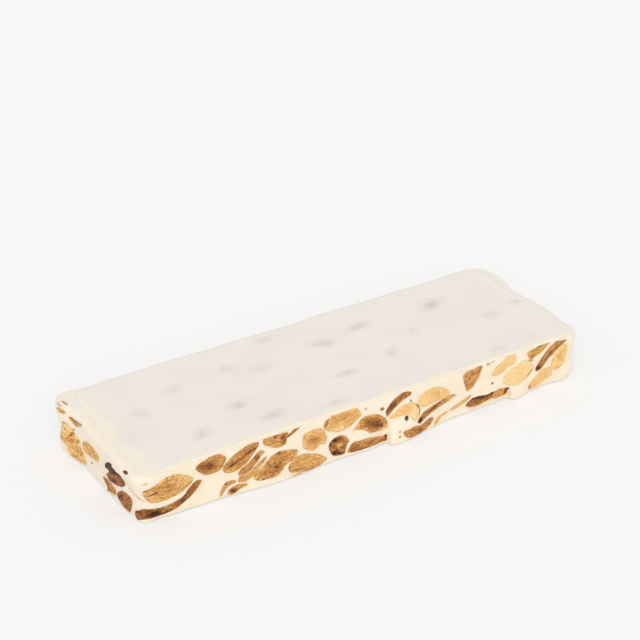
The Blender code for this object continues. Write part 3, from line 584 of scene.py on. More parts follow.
def side_detail(strip, along, z):
    """Steep flanks and swells that the coarse frame only hints at, as reach in mm."""
    detail = np.zeros(np.shape(along))
    for place, high, step in FLANKS:
        away = strip.away(along, strip.from_bar(place, -BAR_HALF[1]))
        before = -step * bell(np.minimum(away + FLANK_HALF, 0.0), 3.2) * (away <= -FLANK_HALF)
        after = 0.5 * step * bell(np.maximum(away - FLANK_HALF, 0.0), 3.0) * (away >= FLANK_HALF)
        rise = -step + 1.5 * step * smoothstep(-FLANK_HALF, FLANK_HALF, away)
        between = rise * (np.abs(away) < FLANK_HALF)
        detail = detail + smoothstep(high, 0.35 * high, z) * (before + after + between)
    for x, y, spread, height, rise, amount in SWELLS:
        away = strip.away(along, strip.from_bar(x, y))
        detail = detail + amount * bell(away, spread) * bell(z - height, rise)
    return detail


def left_share(strip, along):
    """1 on most of the left end, 0 at its back corner and elsewhere."""
    x, y, _, _ = strip.path(along)
    at_left = smoothstep(-strip.half[0] + 9.0, -strip.half[0] + 1.0, x)
    return at_left * smoothstep(strip.half[1] - 2.0, strip.half[1] - 16.0, y)


class Outline:
    """A closed outline on the side strip, in mm along and up."""

    def __init__(self, points):
        """Find the outline's middle, its long axis and its size along and across that."""
        self.points = points
        self.middle = points.mean(0)
        spread = np.cov((points - self.middle).T)
        self.axis = np.linalg.eigh(spread)[1][:, 1]
        if self.axis[0] < 0:
            self.axis = -self.axis
        self.cross = np.array([-self.axis[1], self.axis[0]])
        self.local = (points - self.middle) @ np.stack([self.axis, self.cross], 1)
        self.low, self.high = self.local.min(0), self.local.max(0)

    def grown(self, amount):
        """The outline pushed outwards."""
        ahead = np.roll(self.points, -1, 0) - np.roll(self.points, 1, 0)
        normal = np.stack([ahead[:, 1], -ahead[:, 0]], 1)
        normal /= np.linalg.norm(normal, axis=1)[:, None] + 1e-9
        area = np.cross(self.points, np.roll(self.points, -1, 0)).sum()
        return Outline(self.points + normal * amount * np.sign(area))

    def distance(self, along, z):
        """Distance to the outline, below zero inside it."""
        spots = np.stack([np.ravel(along), np.ravel(z)], 1)
        start, end = self.points, np.roll(self.points, -1, 0)
        edge = end - start
        offset = spots[:, None, :] - start[None]
        share = np.clip((offset * edge).sum(-1) / (edge ** 2).sum(-1), 0.0, 1.0)
        nearest = np.linalg.norm(offset - share[..., None] * edge, axis=-1).min(1)
        above = start[:, 1][None] > spots[:, 1][:, None]
        above_end = end[:, 1][None] > spots[:, 1][:, None]
        rise = np.where(np.abs(edge[:, 1]) < 1e-12, 1e-12, edge[:, 1])
        cross_at = start[:, 0] + (spots[:, 1][:, None] - start[:, 1]) * edge[:, 0] / rise
        inside = ((above != above_end) & (spots[:, 0][:, None] < cross_at)).sum(1) % 2 == 1
        return np.where(inside, -nearest, nearest).reshape(np.shape(along))

    def grid(self, count_long, count_wide):
        """A grid from end to end and side to side: along, height, and the local places."""
        local = self.local
        first, last = local[:, 0].argmin(), local[:, 0].argmax()
        rolled = np.roll(local, -first, 0)
        split = (last - first) % len(local)
        chains = (rolled[:split + 1], np.vstack([rolled[split:], rolled[:1]])[::-1])
        low, high = sorted(chains, key=lambda chain: chain[:, 1].mean())
        share = -np.cos(np.linspace(0.0, math.pi, count_long))
        length = 0.5 * (local[last, 0] - local[first, 0])
        centre = 0.5 * (local[last, 0] + local[first, 0])
        long_at = centre + length * share
        under = np.interp(long_at, np.maximum.accumulate(low[:, 0]), low[:, 1])
        over = np.interp(long_at, np.maximum.accumulate(high[:, 0]), high[:, 1])
        wide = np.sin(np.linspace(-0.5, 0.5, count_wide) * math.pi)
        mix = 0.5 * (wide + 1.0)
        wide_at = under[:, None] * (1 - mix) + over[:, None] * mix
        long_at = np.repeat(long_at[:, None], count_wide, 1)
        spots = self.middle + long_at[..., None] * self.axis + wide_at[..., None] * self.cross
        return spots[..., 0], spots[..., 1], long_at, wide_at


def run_along(points, shares):
    """Points at these shares of the way along a run."""
    run = np.concatenate(([0.0], np.cumsum(np.linalg.norm(np.diff(points, axis=0), axis=1))))
    return np.stack([np.interp(shares * run[-1], run, points[:, i]) for i in (0, 1)], 1)


def smooth_loop(corners, count, waviness, seed):
    """A smooth closed curve through corners, a little uneven."""
    ahead, behind = np.roll(corners, -1, 0), np.roll(corners, 1, 0)
    far = np.roll(corners, -2, 0)
    pieces = []
    steps = max(4, count // len(corners))
    for t in np.arange(steps) / steps:
        pieces.append(0.5 * (2 * corners + (ahead - behind) * t
                             + (2 * behind - 5 * corners + 4 * ahead - far) * t ** 2
                             + (3 * corners - behind - 3 * ahead + far) * t ** 3))
    loop = np.stack(pieces, 1).reshape(-1, 2)
    loop = run_along(np.vstack([loop, loop[:1]]), np.arange(count) / count)
    away = loop - loop.mean(0)
    size = np.abs(away).max(0).min()
    angle = np.linspace(0.0, 2 * math.pi, count, endpoint=False)
    draw = np.random.default_rng(seed)
    wave = sum(draw.normal() / k * np.cos(k * angle + draw.uniform(0, 6.3))
               for k in (3, 4, 5, 7, 9))
    away /= np.linalg.norm(away, axis=1)[:, None]
    loop = loop + away * (wave * waviness * size)[:, None]
    loop[:, 1] = np.clip(loop[:, 1], *OUTLINE_HEIGHTS)
    return loop


def cut_rim(mesh, strip):
    """Each edge vertex of the faces that look outwards, with its neighbours there."""
    cut = set()
    for face in mesh.faces:
        centre = face.calc_center_median() / MM
        _, _, normal_x, normal_y = strip.path(strip.place(centre.x, centre.y))
        if face.normal.dot(Vector((normal_x, normal_y, 0.0))) > RIM_FACING:
            cut.add(face)
    links = {}
    for edge in mesh.edges:
        if sum(face in cut for face in edge.link_faces) == 1:
            for vert in edge.verts:
                links.setdefault(vert, []).append(edge.other_vert(vert))
    return links


def rim_of(solid, strip):
    """The rim of an almond's cut face in the frame, as places on the strip."""
    mesh = bmesh.new()
    mesh.from_mesh(solid.data)
    bmesh.ops.remove_doubles(mesh, verts=mesh.verts, dist=1e-6)
    mesh.normal_update()
    links = cut_rim(mesh, strip)
    loops = []
    waiting = dict.fromkeys(links)
    while waiting:
        loop = [next(iter(waiting))]
        del waiting[loop[0]]
        while True:
            onward = [v for v in links[loop[-1]] if v in waiting]
            if not onward:
                break
            loop.append(onward[0])
            del waiting[onward[0]]
        loops.append([v.co / MM for v in loop])
    loop = max(loops, key=len)
    along = strip.place([c.x for c in loop], [c.y for c in loop])
    along = strip.near(along, along[0])
    heights = [c.z for c in loop]
    mesh.free()
    return np.stack([along, heights], 1)


def thin_corners(points, least):
    """Drop points that lie closer than this to the one before."""
    kept = [points[0]]
    for point in points[1:]:
        if np.linalg.norm(point - kept[-1]) > least:
            kept.append(point)
    if np.linalg.norm(kept[0] - kept[-1]) < least and len(kept) > 6:
        kept.pop()
    return np.array(kept)


def grid_faces(count_a, count_b, closed_a=False, start=0, flip=False):
    """Faces of a grid of vertices numbered row by row."""
    i, j = np.meshgrid(np.arange(count_a if closed_a else count_a - 1),
                       np.arange(count_b - 1), indexing="ij")
    following = (i + 1) % count_a
    corners = [i * count_b + j, following * count_b + j,
               following * count_b + j + 1, i * count_b + j + 1]
    if flip:
        corners.reverse()
    return (np.stack(corners, -1).reshape(-1, 4) + start).tolist()


def border_faces(count_a, count_b, size, flip):
    """Faces that join the borders of two grids, the second one numbered after the first."""
    ring = [i * count_b for i in range(count_a)]
    ring += [(count_a - 1) * count_b + j for j in range(1, count_b)]
    ring += [i * count_b + count_b - 1 for i in range(count_a - 2, -1, -1)]
    ring += list(range(count_b - 2, 0, -1))
    faces = []
    for here, following in zip(ring, ring[1:] + ring[:1]):
        face = [here, following, following + size, here + size]
        faces.append(face if not flip else face[::-1])
    return faces


def make_piece(name, vertices, faces, look, attributes, weld=0.0):
    """Make an object that rides on the bar, material and attributes."""
    mesh = bpy.data.meshes.new(name)
    mesh.from_pydata(vertices.tolist(), [], faces)
    for key, values in attributes.items():
        kind, field = ("FLOAT", "value") if np.ndim(values) == 1 else ("FLOAT_VECTOR", "vector")
        layer = mesh.attributes.new(key, kind, "POINT")
        layer.data.foreach_set(field, np.asarray(values, np.float32).ravel())
    if weld:
        edit = bmesh.new()
        edit.from_mesh(mesh)
        bmesh.ops.remove_doubles(edit, verts=edit.verts, dist=weld)
        bmesh.ops.recalc_face_normals(edit, faces=edit.faces)
        edit.to_mesh(mesh)
        edit.free()
    mesh.materials.append(look)
    mesh.shade_smooth()
    piece = bpy.data.objects.new(name, mesh)
    bpy.context.scene.collection.objects.link(piece)
    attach(piece, "root")
    return piece


def placed(rows, side, strip):
    """Marks of a side with their measured middles turned into places on the strip."""
    return [(*strip.seen_spot(side, row[0], row[1]), *row[2:]) for row in rows]


def mark_share(spots, marks, strip):
    """Sum of soft marks at places on the strip."""
    along, z = spots
    total = np.zeros(np.shape(along))
    for middle, height, length, width, tilt, amount in marks:
        long_way, wide_way = turned(strip.away(along, middle), z - height, -tilt)
        size = (2 * long_way / length) ** 2 + (2 * wide_way / width) ** 2
        total = total + amount * np.exp(-0.9 * size ** 1.5)
    return total


class Almond:
    """One almond: its outline on the strip and how it looks."""

    def __init__(self, name, outline, tone, streaks, rough, lift, index, nodes=()):
        """Keep the almond's values; nodes are the CAD nodes that it stands for."""
        self.name = name
        self.outline = outline
        self.tone, self.streaks, self.rough, self.lift = tone, streaks, rough, lift
        self.index = index
        self.nodes = nodes


def read_almonds(strip):
    """The frame's almonds with their outlines and looks."""
    draw = np.random.default_rng(SEED)
    sides = {"front": (FRONT_OUTLINES, FRONT_LOOKS), "left": (LEFT_OUTLINES, LEFT_LOOKS)}
    almonds = []
    names = sorted(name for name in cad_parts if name.startswith("almond_"))
    for index, name in enumerate(names):
        _, side, number = name.split("_")
        look = (draw.choice([0.40, 0.50, 0.58, 0.66, 0.76], p=[0.2, 0.25, 0.25, 0.2, 0.1]),
                draw.uniform(0.5, 1.0), draw.uniform(0.08, 0.18), draw.uniform(-0.1, 0.2))
        if side in sides:
            corners, look = (table[int(number) - 1] for table in sides[side])
            spots = np.array([strip.seen_spot(side, *corner) for corner in corners])
            spots[:, 0] = strip.near(spots[:, 0], spots[0, 0])
            outline = Outline(smooth_loop(spots, 96, 0.02, index))
        else:
            corners = thin_corners(rim_of(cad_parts[name], strip), 0.8)
            outline = Outline(smooth_loop(corners, 96, 0.035, index)).grown(RIM_GROWTH)
        almonds.append(Almond(name.replace("almond", "nut"), outline, *look, index, (name,)))
    return almonds


def make_chips(strip, first_index):
    """Small pieces of almond that have no solid of their own."""
    chips = []
    for index, (side, along, z, length, width, tilt, tone) in enumerate(CHIPS):
        middle, z = strip.seen_spot(side, along, z)
        angle = np.linspace(0.0, 2 * math.pi, 12, endpoint=False)
        across, up = turned(0.5 * length * np.cos(angle), 0.5 * width * np.sin(angle), tilt)
        corners = np.stack([middle + across, z + up], 1)
        outline = Outline(smooth_loop(corners, 48, 0.10, 200 + index))
        chips.append(Almond(f"chip_{index + 1:02d}", outline, tone, 0.5, 0.05, 0.08,
                            first_index + index))
    return chips


def extra_almonds(strip, almonds):
    """More almonds on the back and the right end, so that they are as full as the front."""
    draw = np.random.default_rng(SEED + 1)
    low, high = strip.starts[1] + 9.0, strip.starts[5] + 1.0
    taken = [almond.outline for almond in almonds]
    extra = []
    for _ in range(EXTRA_TRIES):
        middle = np.array([draw.uniform(low, high), draw.uniform(3.2, 18.0)])
        length, width = draw.uniform(4.0, 13.0), draw.uniform(1.6, 6.2)
        tilt = draw.normal(5.0, 24.0)
        angle = np.linspace(0.0, 2 * math.pi, 14, endpoint=False)
        squash = 1.0 + draw.uniform(-0.35, 0.35) * np.cos(angle)
        long_way = 0.5 * length * np.cos(angle)
        wide_way = 0.5 * min(width, 0.7 * length) * np.sin(angle) * squash
        corners = middle + np.stack(turned(long_way, wide_way, tilt), 1)
        if corners[:, 1].min() < EXTRA_HEIGHTS[0] or corners[:, 1].max() > EXTRA_HEIGHTS[1]:
            continue
        close = [other for other in taken if abs(other.middle[0] - middle[0]) < 24.0]
        if any(other.distance(*corners.T).min() < EXTRA_GAP for other in close):
            continue
        index = len(almonds) + len(extra)
        outline = Outline(smooth_loop(corners, 80, 0.06, 400 + index))
        tone = draw.choice([0.38, 0.48, 0.58, 0.68, 0.80])
        extra.append(Almond(f"nut_hidden_{len(extra) + 1:02d}", outline, tone,
                            draw.uniform(0.5, 1.0), draw.uniform(0.08, 0.18), 0.0, index))
        taken.append(outline)
        if len(extra) == EXTRA_COUNT:
            break
    return extra


def almond_surface(almond, strip, marks, count_long, count_wide):
    """Points and attributes of an almond's cut face and of its inner side."""
    edge = almond.outline.grown(TUCK)
    along, z, long_at, wide_at = edge.grid(count_long, count_wide)
    inside = almond.outline.distance(along, z)
    seed = 300 + 7 * almond.index
    ridges = soft_noise(long_at, wide_at, 0.9, seed)
    flow = soft_noise(long_at / 3.4, wide_at / 0.55, 1.0, seed + 1)
    lumps = soft_noise(long_at, wide_at, 3.0, seed + 2)
    relief = almond.rough * (0.45 * ridges + 0.55 * flow + 0.8 * lumps)
    length, width = edge.high - edge.low
    dip = min(0.08, 0.02 * width) * smoothstep(-1.2, -0.1, inside)
    dip += 1.3 * smoothstep(-0.06, TUCK, inside)
    out = almond.lift - 0.06 + relief * smoothstep(0.0, -0.6, inside) - dip
    tone = np.full(along.shape, float(almond.tone))
    # The marks carry the almonds' streaks and darker patches, and a few lines of painted shade.
    tone += mark_share((along, z), marks, strip)
    tone += 0.07 * almond.streaks * flow + 0.05 * almond.streaks * lumps
    # Lighter towards the rim: partly the almonds' paler rim, partly painted light that offsets
    # the shade where the face dips into its pocket.
    tone += 0.06 * almond.streaks * smoothstep(-1.6, -0.1, inside)
    half_wide = 0.5 * width
    depth = min(4.5, 1.2 * half_wide)
    share = (wide_at / half_wide) ** 2 + (2 * long_at / length) ** 2
    inner = out - depth * np.sqrt(np.clip(1.0 - share, 0.0, 1.0)) - 0.05
    front = strip.points(along, z, out)
    back = strip.points(along, z, np.where(inside > TUCK - 0.02, out, inner))
    grain = np.stack([long_at / 3.0, wide_at, np.full(along.shape, 13.7 * almond.index)], -1)
    return front, back, tone, grain


def build_almond(almond, strip, marks, look):
    """One almond as a closed body: its cut face in front and a rounded inner side."""
    extent = almond.outline.high - almond.outline.low
    count_long, count_wide = (int(np.clip(size / step, *limits)) for size, step, limits
                              in zip(extent, ALMOND_STEPS, ALMOND_COUNTS))
    front, back, tone, grain = almond_surface(almond, strip, marks, count_long, count_wide)
    size = count_long * count_wide
    faces = grid_faces(count_long, count_wide)
    faces += grid_faces(count_long, count_wide, start=size, flip=True)
    attributes = {"tone": np.tile(tone.ravel(), 2),
                  "streaky": np.full(2 * size, float(almond.streaks)),
                  "grain": np.tile(grain.reshape(-1, 3), (2, 1))}
    vertices = np.concatenate([front.reshape(-1, 3), back.reshape(-1, 3)])
    piece = make_piece(almond.name, vertices, faces, look, attributes, WELD)
    for node in almond.nodes:
        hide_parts(node)


def side_stations(strip):
    """Places along the strip, close together where the bar shows most."""
    stations = []
    at = 0.0
    while at < strip.total:
        stations.append(at)
        shows = at < strip.starts[1] or at > strip.starts[5]
        at += FINE_STEP if shows else PLAIN_STEP
    return np.array(stations) * strip.total / at


def nougat_relief(strip, along, z, almonds):
    """Relief of the nougat's side, its closeness to almonds and how much painted shade its holes
    get.
    """
    waves = ((0.22, 9.0), (0.12, 3.6), (0.035, 1.2))
    out = sum(size * soft_noise(along, z, cell, seed, strip.total)
              for seed, (size, cell) in enumerate(waves, 1))
    near, pocket = np.zeros(along.shape), np.zeros(along.shape)
    for almond in almonds:
        low, high = almond.outline.points.min(0) - 2.5, almond.outline.points.max(0) + 2.5
        here = strip.near(along, almond.outline.middle[0])
        mask = (here > low[0]) & (here < high[0]) & (z > low[1]) & (z < high[1])
        inside = almond.outline.distance(here[mask], z[mask])
        width = almond.outline.high[1] - almond.outline.low[1]
        deep = float(np.clip(0.45 * width, 1.0, 1.7)) - min(almond.lift, 0.0)
        out[mask] *= smoothstep(0.0, 1.5, inside)
        out[mask] += 0.07 * bell(inside - 0.3, 0.3)
        pocket[mask] = np.maximum(pocket[mask], deep * smoothstep(0.08, -0.45, inside))
        near[mask] = np.maximum(near[mask], np.exp(-np.maximum(inside, 0.0) / 0.8))
    out -= pocket
    dark = np.zeros(along.shape)
    for side, *row, depth in HOLES:
        share = mark_share((along, z), placed([(*row, 1.0)], side, strip), strip)
        out -= depth * share
        dark = np.maximum(dark, share)
    return out, near, dark


def build_nougat(strip, almonds, look):
    """The nougat as one closed body with pockets where the almonds lie."""
    stations = side_stations(strip)
    foot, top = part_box("wafer_bottom")[1].z / MM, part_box("wafer_top")[0].z / MM
    rows = np.linspace(foot + SEAM, top - SEAM, round((top - foot) / HEIGHT_STEP))
    along, z = np.meshgrid(stations, rows, indexing="ij")
    out, near, dark = nougat_relief(strip, along, z, almonds)
    side = strip.points(along, z, out)
    count_a, count_b = along.shape
    vertices = [side.reshape(-1, 3)]
    faces = grid_faces(count_a, count_b, closed_a=True)
    at_left = left_share(strip, stations)
    left = at_left[:, None]
    pale_rim = smoothstep(top - 1.6, top, z) * (0.25 - 0.25 * left)
    values = {"near": [near.ravel()], "dark": [dark.ravel()],
              "top": [np.maximum(pale_rim, 0.3 * left).ravel()]}
    x, _, normal_x, normal_y = strip.path(stations)
    pale = smoothstep(-0.98, -0.60, normal_y) * (1.0 - at_left)
    ring = np.arange(count_a) * count_b + count_b - 1
    for inward in TOP_RINGS:
        moved = side[:, -1] - np.stack([normal_x, normal_y, 0 * x], -1) * inward * MM
        lift = at_left * 0.12 * smoothstep(0.0, 3.0, inward)
        bumps = 0.06 * soft_noise(stations + 3 * inward, 0 * x + inward, 2.5, 8, strip.total)
        moved[:, 2] += (lift + bumps * at_left) * MM
        new_ring = sum(len(part) for part in vertices) + np.arange(count_a)
        vertices.append(moved)
        faces += np.stack([ring, np.roll(ring, -1), np.roll(new_ring, -1), new_ring], -1).tolist()
        values["near"].append(np.zeros(count_a))
        values["dark"].append(np.zeros(count_a))
        values["top"].append(0.25 + 0.10 * at_left + 0.60 * pale)
        ring = new_ring
    faces.append(ring.tolist())
    faces.append((np.arange(count_a) * count_b)[::-1].tolist())
    attributes = {key: np.concatenate(parts) for key, parts in values.items()}
    piece = make_piece("nougat_body", np.concatenate(vertices), faces, look, attributes)
    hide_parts("nougat")


def sheet_outline(node, strip):
    """The outline of a wafer sheet in the frame as an even, softened loop, in mm."""
    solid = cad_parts[node]
    top = max(v.co.z for v in solid.data.vertices) - 0.01 * MM
    corners = [(v.co.x / MM, v.co.y / MM) for v in solid.data.vertices if v.co.z > top]
    corners.sort(key=lambda corner: float(strip.place(*corner)))
    loop = run_along(np.array(corners + corners[:1]), np.linspace(0.0, 1.0, 1200, endpoint=False))
    return smooth_grid(loop, 2.5, 0.01)


def sheet_grid(loop, low, high):
    """A grid of points across a sheet, spanned between the four runs of its border."""
    wide, deep = 0.5 * (high.x - low.x), 0.5 * (high.y - low.y)
    middle = 0.5 * (high.xy + low.xy)
    order = [int(np.hypot(loop[:, 0] - middle.x - a * wide,
                          loop[:, 1] - middle.y - b * deep).argmin())
             for a, b in ((-1, -1), (1, -1), (1, 1), (-1, 1))]
    loop = np.roll(loop, -order[0], 0)
    cuts = [(k - order[0]) % len(loop) for k in order] + [len(loop)]
    closed = np.vstack([loop, loop[:1]])
    share_u, share_v = (np.linspace(0.0, 1.0, count) for count in SHEET_COUNTS)
    front, right, back, left = (run_along(closed[cuts[k]:cuts[k + 1] + 1], share)
                                for k, share in enumerate((share_u, share_v) * 2))
    back, left = back[::-1], left[::-1]
    u, v = share_u[:, None, None], share_v[None, :, None]
    return ((1 - v) * front[:, None] + v * back[:, None] + (1 - u) * left[None] + u * right[None]
            - (1 - u) * (1 - v) * front[0] - u * (1 - v) * front[-1]
            - (1 - u) * v * back[0] - u * v * back[-1])


def edge_distance(flat):
    """Distance of each point of a sheet's grid to the sheet's border, about right."""
    length = np.linalg.norm(np.diff(flat, axis=0), axis=-1)
    from_left = np.concatenate([np.zeros((1, flat.shape[1])), np.cumsum(length, 0)])
    width = np.linalg.norm(np.diff(flat, axis=1), axis=-1)
    from_front = np.concatenate([np.zeros((flat.shape[0], 1)), np.cumsum(width, 1)], 1)
    return np.minimum.reduce([from_left, from_left[-1:] - from_left,
                              from_front, from_front[:, -1:] - from_front])


def sheet_spots(x, y):
    """How strongly almonds show through the upper sheet."""
    total = np.zeros(x.shape)
    for along, across, length, width, turn, strength in SPOTS:
        long_way, wide_way = turned(x - along - BAR_MIDDLE[0], y - across - BAR_MIDDLE[1], -turn)
        total += strength * np.exp(-(2 * long_way / length) ** 2 - (2 * wide_way / width) ** 2)
    return total


def cream_edge(flat, left_end):
    """How far the nougat's cream shows at a sheet's front and left borders."""
    x, y = flat[..., 0], flat[..., 1]
    from_left = x - left_end + 2.5 * soft_noise(x, y, 6.0, 24)
    fade = 1.5 + 1.1 * soft_noise(x, y, 9.0, 25) + 0.5 * soft_noise(x, y, 2.2, 26)
    fade = np.maximum(fade, 0.4)
    from_front = np.linalg.norm(flat - flat[:, :1], axis=-1)
    return np.maximum(smoothstep(2.2 * fade, 0.3 * fade, from_front),
                      0.7 * smoothstep(7.5, 0.5, from_left))


def build_sheet(node, name, look, upper, strip):
    """One wafer sheet as a fine closed sheet with soft relief and thin borders."""
    low, high = (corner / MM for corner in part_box(node))
    loop = sheet_outline(node, strip)
    if not upper:
        loop = Outline(loop).grown(-BOTTOM_INSET).points
    flat = sheet_grid(loop, low, high)
    x, y = flat[..., 0], flat[..., 1]
    inside = edge_distance(flat)
    spots = sheet_spots(x, y) if upper else np.zeros(x.shape)
    relief = 0.10 * soft_noise(x, y, 13.0, 21) + 0.05 * soft_noise(x, y, 5.0, 22)
    relief += 0.012 * soft_noise(x, y, 1.1, 23)
    relief += 0.06 * spots
    sign, thinning = (1.0, 0.9) if upper else (-1.0, 0.3)
    outer, inner = (high.z, low.z) if upper else (low.z, high.z)
    outer = outer + sign * (relief - 0.12) * smoothstep(0.0, 3.0, inside)
    fall = np.clip(1.0 - inside / (2.2 + 3.3 * smoothstep(9.0, 2.0, x - low.x)), 0.0, 1.0)
    outer = outer - sign * (high.z - low.z - 0.06) * fall ** 2 * thinning
    if not upper:
        outer = np.maximum(outer, 0.0)
    shell = [np.stack([x, y, level], -1).reshape(-1, 3) * MM
             for level in (outer, np.full(x.shape, inner))]
    size = x.size
    faces = grid_faces(*SHEET_COUNTS, flip=not upper)
    faces += grid_faces(*SHEET_COUNTS, start=size, flip=upper)
    faces += border_faces(*SHEET_COUNTS, size, flip=upper)
    attributes = {"spots": np.tile(spots.ravel(), 2),
                  "edge": np.tile(cream_edge(flat, low.x).ravel(), 2)}
    piece = make_piece(name, np.concatenate(shell), faces, look, attributes)
    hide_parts(node)


def new_material(name, roughness):
    """A node material, with its tree and its shader."""
    made = bpy.data.materials.new(name)
    made.use_nodes = True
    tree = made.node_tree
    shader = tree.nodes["Principled BSDF"]
    shader.inputs["Roughness"].default_value = roughness
    return made, tree, shader


def link(tree, source, target):
    """Join an output to an input."""
    tree.links.new(source, target)


def attribute(tree, name):
    """A node that reads an attribute of the mesh."""
    node = tree.nodes.new("ShaderNodeAttribute")
    node.attribute_name = name
    return node


def noise(tree, scale, detail, vector=None, roughness=0.5):
    """A noise texture in metres, or in the space of a given vector."""
    node = tree.nodes.new("ShaderNodeTexNoise")
    node.inputs["Scale"].default_value = scale
    node.inputs["Detail"].default_value = detail
    node.inputs["Roughness"].default_value = roughness
    if vector is None:
        place = tree.nodes.new("ShaderNodeTexCoord")
        vector = place.outputs["Object"]
    link(tree, vector, node.inputs["Vector"])
    return node.outputs["Fac"]


def maths(tree, kind, first, second):
    """A maths node on two values, each a number or an output."""
    node = tree.nodes.new("ShaderNodeMath")
    node.operation = kind
    for value, socket in ((first, node.inputs[0]), (second, node.inputs[1])):
        if isinstance(value, (int, float)):
            socket.default_value = value
        else:
            link(tree, value, socket)
    return node.outputs["Value"]


def mixed(tree, share, first, second):
    """Two colours mixed by a share; each is a colour or an output."""
    node = tree.nodes.new("ShaderNodeMix")
    node.data_type = "RGBA"
    link(tree, share, node.inputs["Factor"])
    sockets = [s for s in node.inputs if s.type == "RGBA"]
    for value, socket in zip((first, second), sockets):
        if isinstance(value, tuple):
            socket.default_value = srgb(value)
        else:
            link(tree, value, socket)
    return next(s for s in node.outputs if s.type == "RGBA")


def map_range(tree, value, low, high, new_low=0.0, new_high=1.0):
    """A value's range turned into another, held at its ends."""
    node = tree.nodes.new("ShaderNodeMapRange")
    node.inputs["From Min"].default_value = low
    node.inputs["From Max"].default_value = high
    node.inputs["To Min"].default_value = new_low
    node.inputs["To Max"].default_value = new_high
    link(tree, value, node.inputs["Value"])
    return node.outputs["Result"]


def bump(tree, shader, height, strength, distance):
    """Fine relief on a shader."""
    node = tree.nodes.new("ShaderNodeBump")
    node.inputs["Strength"].default_value = strength
    node.inputs["Distance"].default_value = distance
    link(tree, height, node.inputs["Height"])
    link(tree, node.outputs["Normal"], shader.inputs["Normal"])


def nougat_material():
    """Dense cream nougat: nearly even, warmer by the almonds, with painted shade in its holes."""
    made, tree, shader = new_material("nougat_cream", 0.5)
    broad = map_range(tree, noise(tree, 140.0, 2.0), 0.40, 0.75)
    near = attribute(tree, "near").outputs["Fac"]
    warm = maths(tree, "MULTIPLY", near, 0.30)
    warm = maths(tree, "ADD", warm, maths(tree, "MULTIPLY", broad, 0.25))
    colour = mixed(tree, warm, NOUGAT, NOUGAT_WARM)
    colour = mixed(tree, attribute(tree, "top").outputs["Fac"], colour, WAFER)
    # The holes are mixed towards SHADOW_BROWN: painted shade.
    dark = map_range(tree, attribute(tree, "dark").outputs["Fac"], 0.38, 0.62)
    colour = mixed(tree, dark, colour, SHADOW_BROWN)
    link(tree, colour, shader.inputs["Base Color"])
    gloss = map_range(tree, noise(tree, 220.0, 2.0), 0.3, 0.7, 0.42, 0.60)
    link(tree, gloss, shader.inputs["Roughness"])
    shader.inputs["Subsurface Weight"].default_value = 0.15
    shader.inputs["Subsurface Scale"].default_value = 0.002
    shader.inputs["Subsurface Radius"].default_value = (1.0, 0.8, 0.6)
    bump(tree, shader, noise(tree, 900.0, 3.0), 0.12, 0.0004)
    return made


def almond_material():
    """Cut almond: its tone from the mesh, with streaks and grains along its length."""
    made, tree, shader = new_material("cut_almond", 0.55)
    grain = attribute(tree, "grain").outputs["Vector"]
    streaks = noise(tree, 1.6, 4.0, grain, 0.65)
    specks = noise(tree, 5.0, 3.0, grain, 0.6)
    fibres = noise(tree, 2.6, 2.0, grain, 0.5)
    pits = noise(tree, 1100.0, 2.0)
    tone = attribute(tree, "tone").outputs["Fac"]
    streaky = attribute(tree, "streaky").outputs["Fac"]
    change = maths(tree, "ADD", map_range(tree, streaks, 0.25, 0.75, -0.24, 0.26),
                   map_range(tree, specks, 0.3, 0.7, -0.08, 0.08))
    change = maths(tree, "ADD", change, map_range(tree, fibres, 0.55, 0.64, 0.0, -0.24))
    change = maths(tree, "ADD", change, map_range(tree, pits, 0.58, 0.72, 0.0, -0.16))
    change = maths(tree, "MULTIPLY", change, streaky)
    tone = maths(tree, "ADD", tone, change)
    ramp = tree.nodes.new("ShaderNodeValToRGB")
    ramp.color_ramp.elements.remove(ramp.color_ramp.elements[1])
    for index, (place, colour) in enumerate(ALMOND_TONES):
        stop = ramp.color_ramp.elements[0] if index == 0 else ramp.color_ramp.elements.new(place)
        stop.position = place
        stop.color = srgb(colour)
    link(tree, tone, ramp.inputs["Fac"])
    link(tree, ramp.outputs["Color"], shader.inputs["Base Color"])
    shader.inputs["Specular IOR Level"].default_value = 0.25
    gloss = map_range(tree, streaks, 0.3, 0.7, 0.45, 0.70)
    link(tree, gloss, shader.inputs["Roughness"])
    bump(tree, shader, streaks, 0.35, 0.0004)
    return made


def wafer_material():
    """Thin pinkish white wafer: matte, with faint grey where almonds lie beneath."""
    made, tree, shader = new_material("wafer_white", 0.8)
    cloud = map_range(tree, noise(tree, 60.0, 3.0), 0.35, 0.75, 0.0, 0.16)
    patch = map_range(tree, noise(tree, 320.0, 3.0), 0.35, 0.75, 0.4, 1.0)
    spots = maths(tree, "MULTIPLY", attribute(tree, "spots").outputs["Fac"], patch)
    grey = maths(tree, "ADD", cloud, spots)
    colour = mixed(tree, grey, WAFER, WAFER_GREY)
    colour = mixed(tree, attribute(tree, "edge").outputs["Fac"], colour, NOUGAT)
    link(tree, colour, shader.inputs["Base Color"])
    bump(tree, shader, noise(tree, 1500.0, 2.0), 0.06, 0.0002)
    return made


def floor_material():
    """Plain pale floor; the camera sees it paler, so that the shadow stays soft."""
    made, tree, shader = new_material("floor_pale", 0.9)
    shader.inputs["Base Color"].default_value = srgb(FLOOR)
    shader.inputs["Specular IOR Level"].default_value = 0.1
    glow = tree.nodes.new("ShaderNodeEmission")
    glow.inputs["Color"].default_value = srgb(FLOOR_GLOW)
    path = tree.nodes.new("ShaderNodeLightPath")
    share = maths(tree, "MULTIPLY", path.outputs["Is Camera Ray"], FLOOR_SHARE)
    mix = tree.nodes.new("ShaderNodeMixShader")
    link(tree, share, mix.inputs["Fac"])
    link(tree, shader.outputs["BSDF"], mix.inputs[1])
    link(tree, glow.outputs["Emission"], mix.inputs[2])
    link(tree, mix.outputs["Shader"], tree.nodes["Material Output"].inputs["Surface"])
    return made


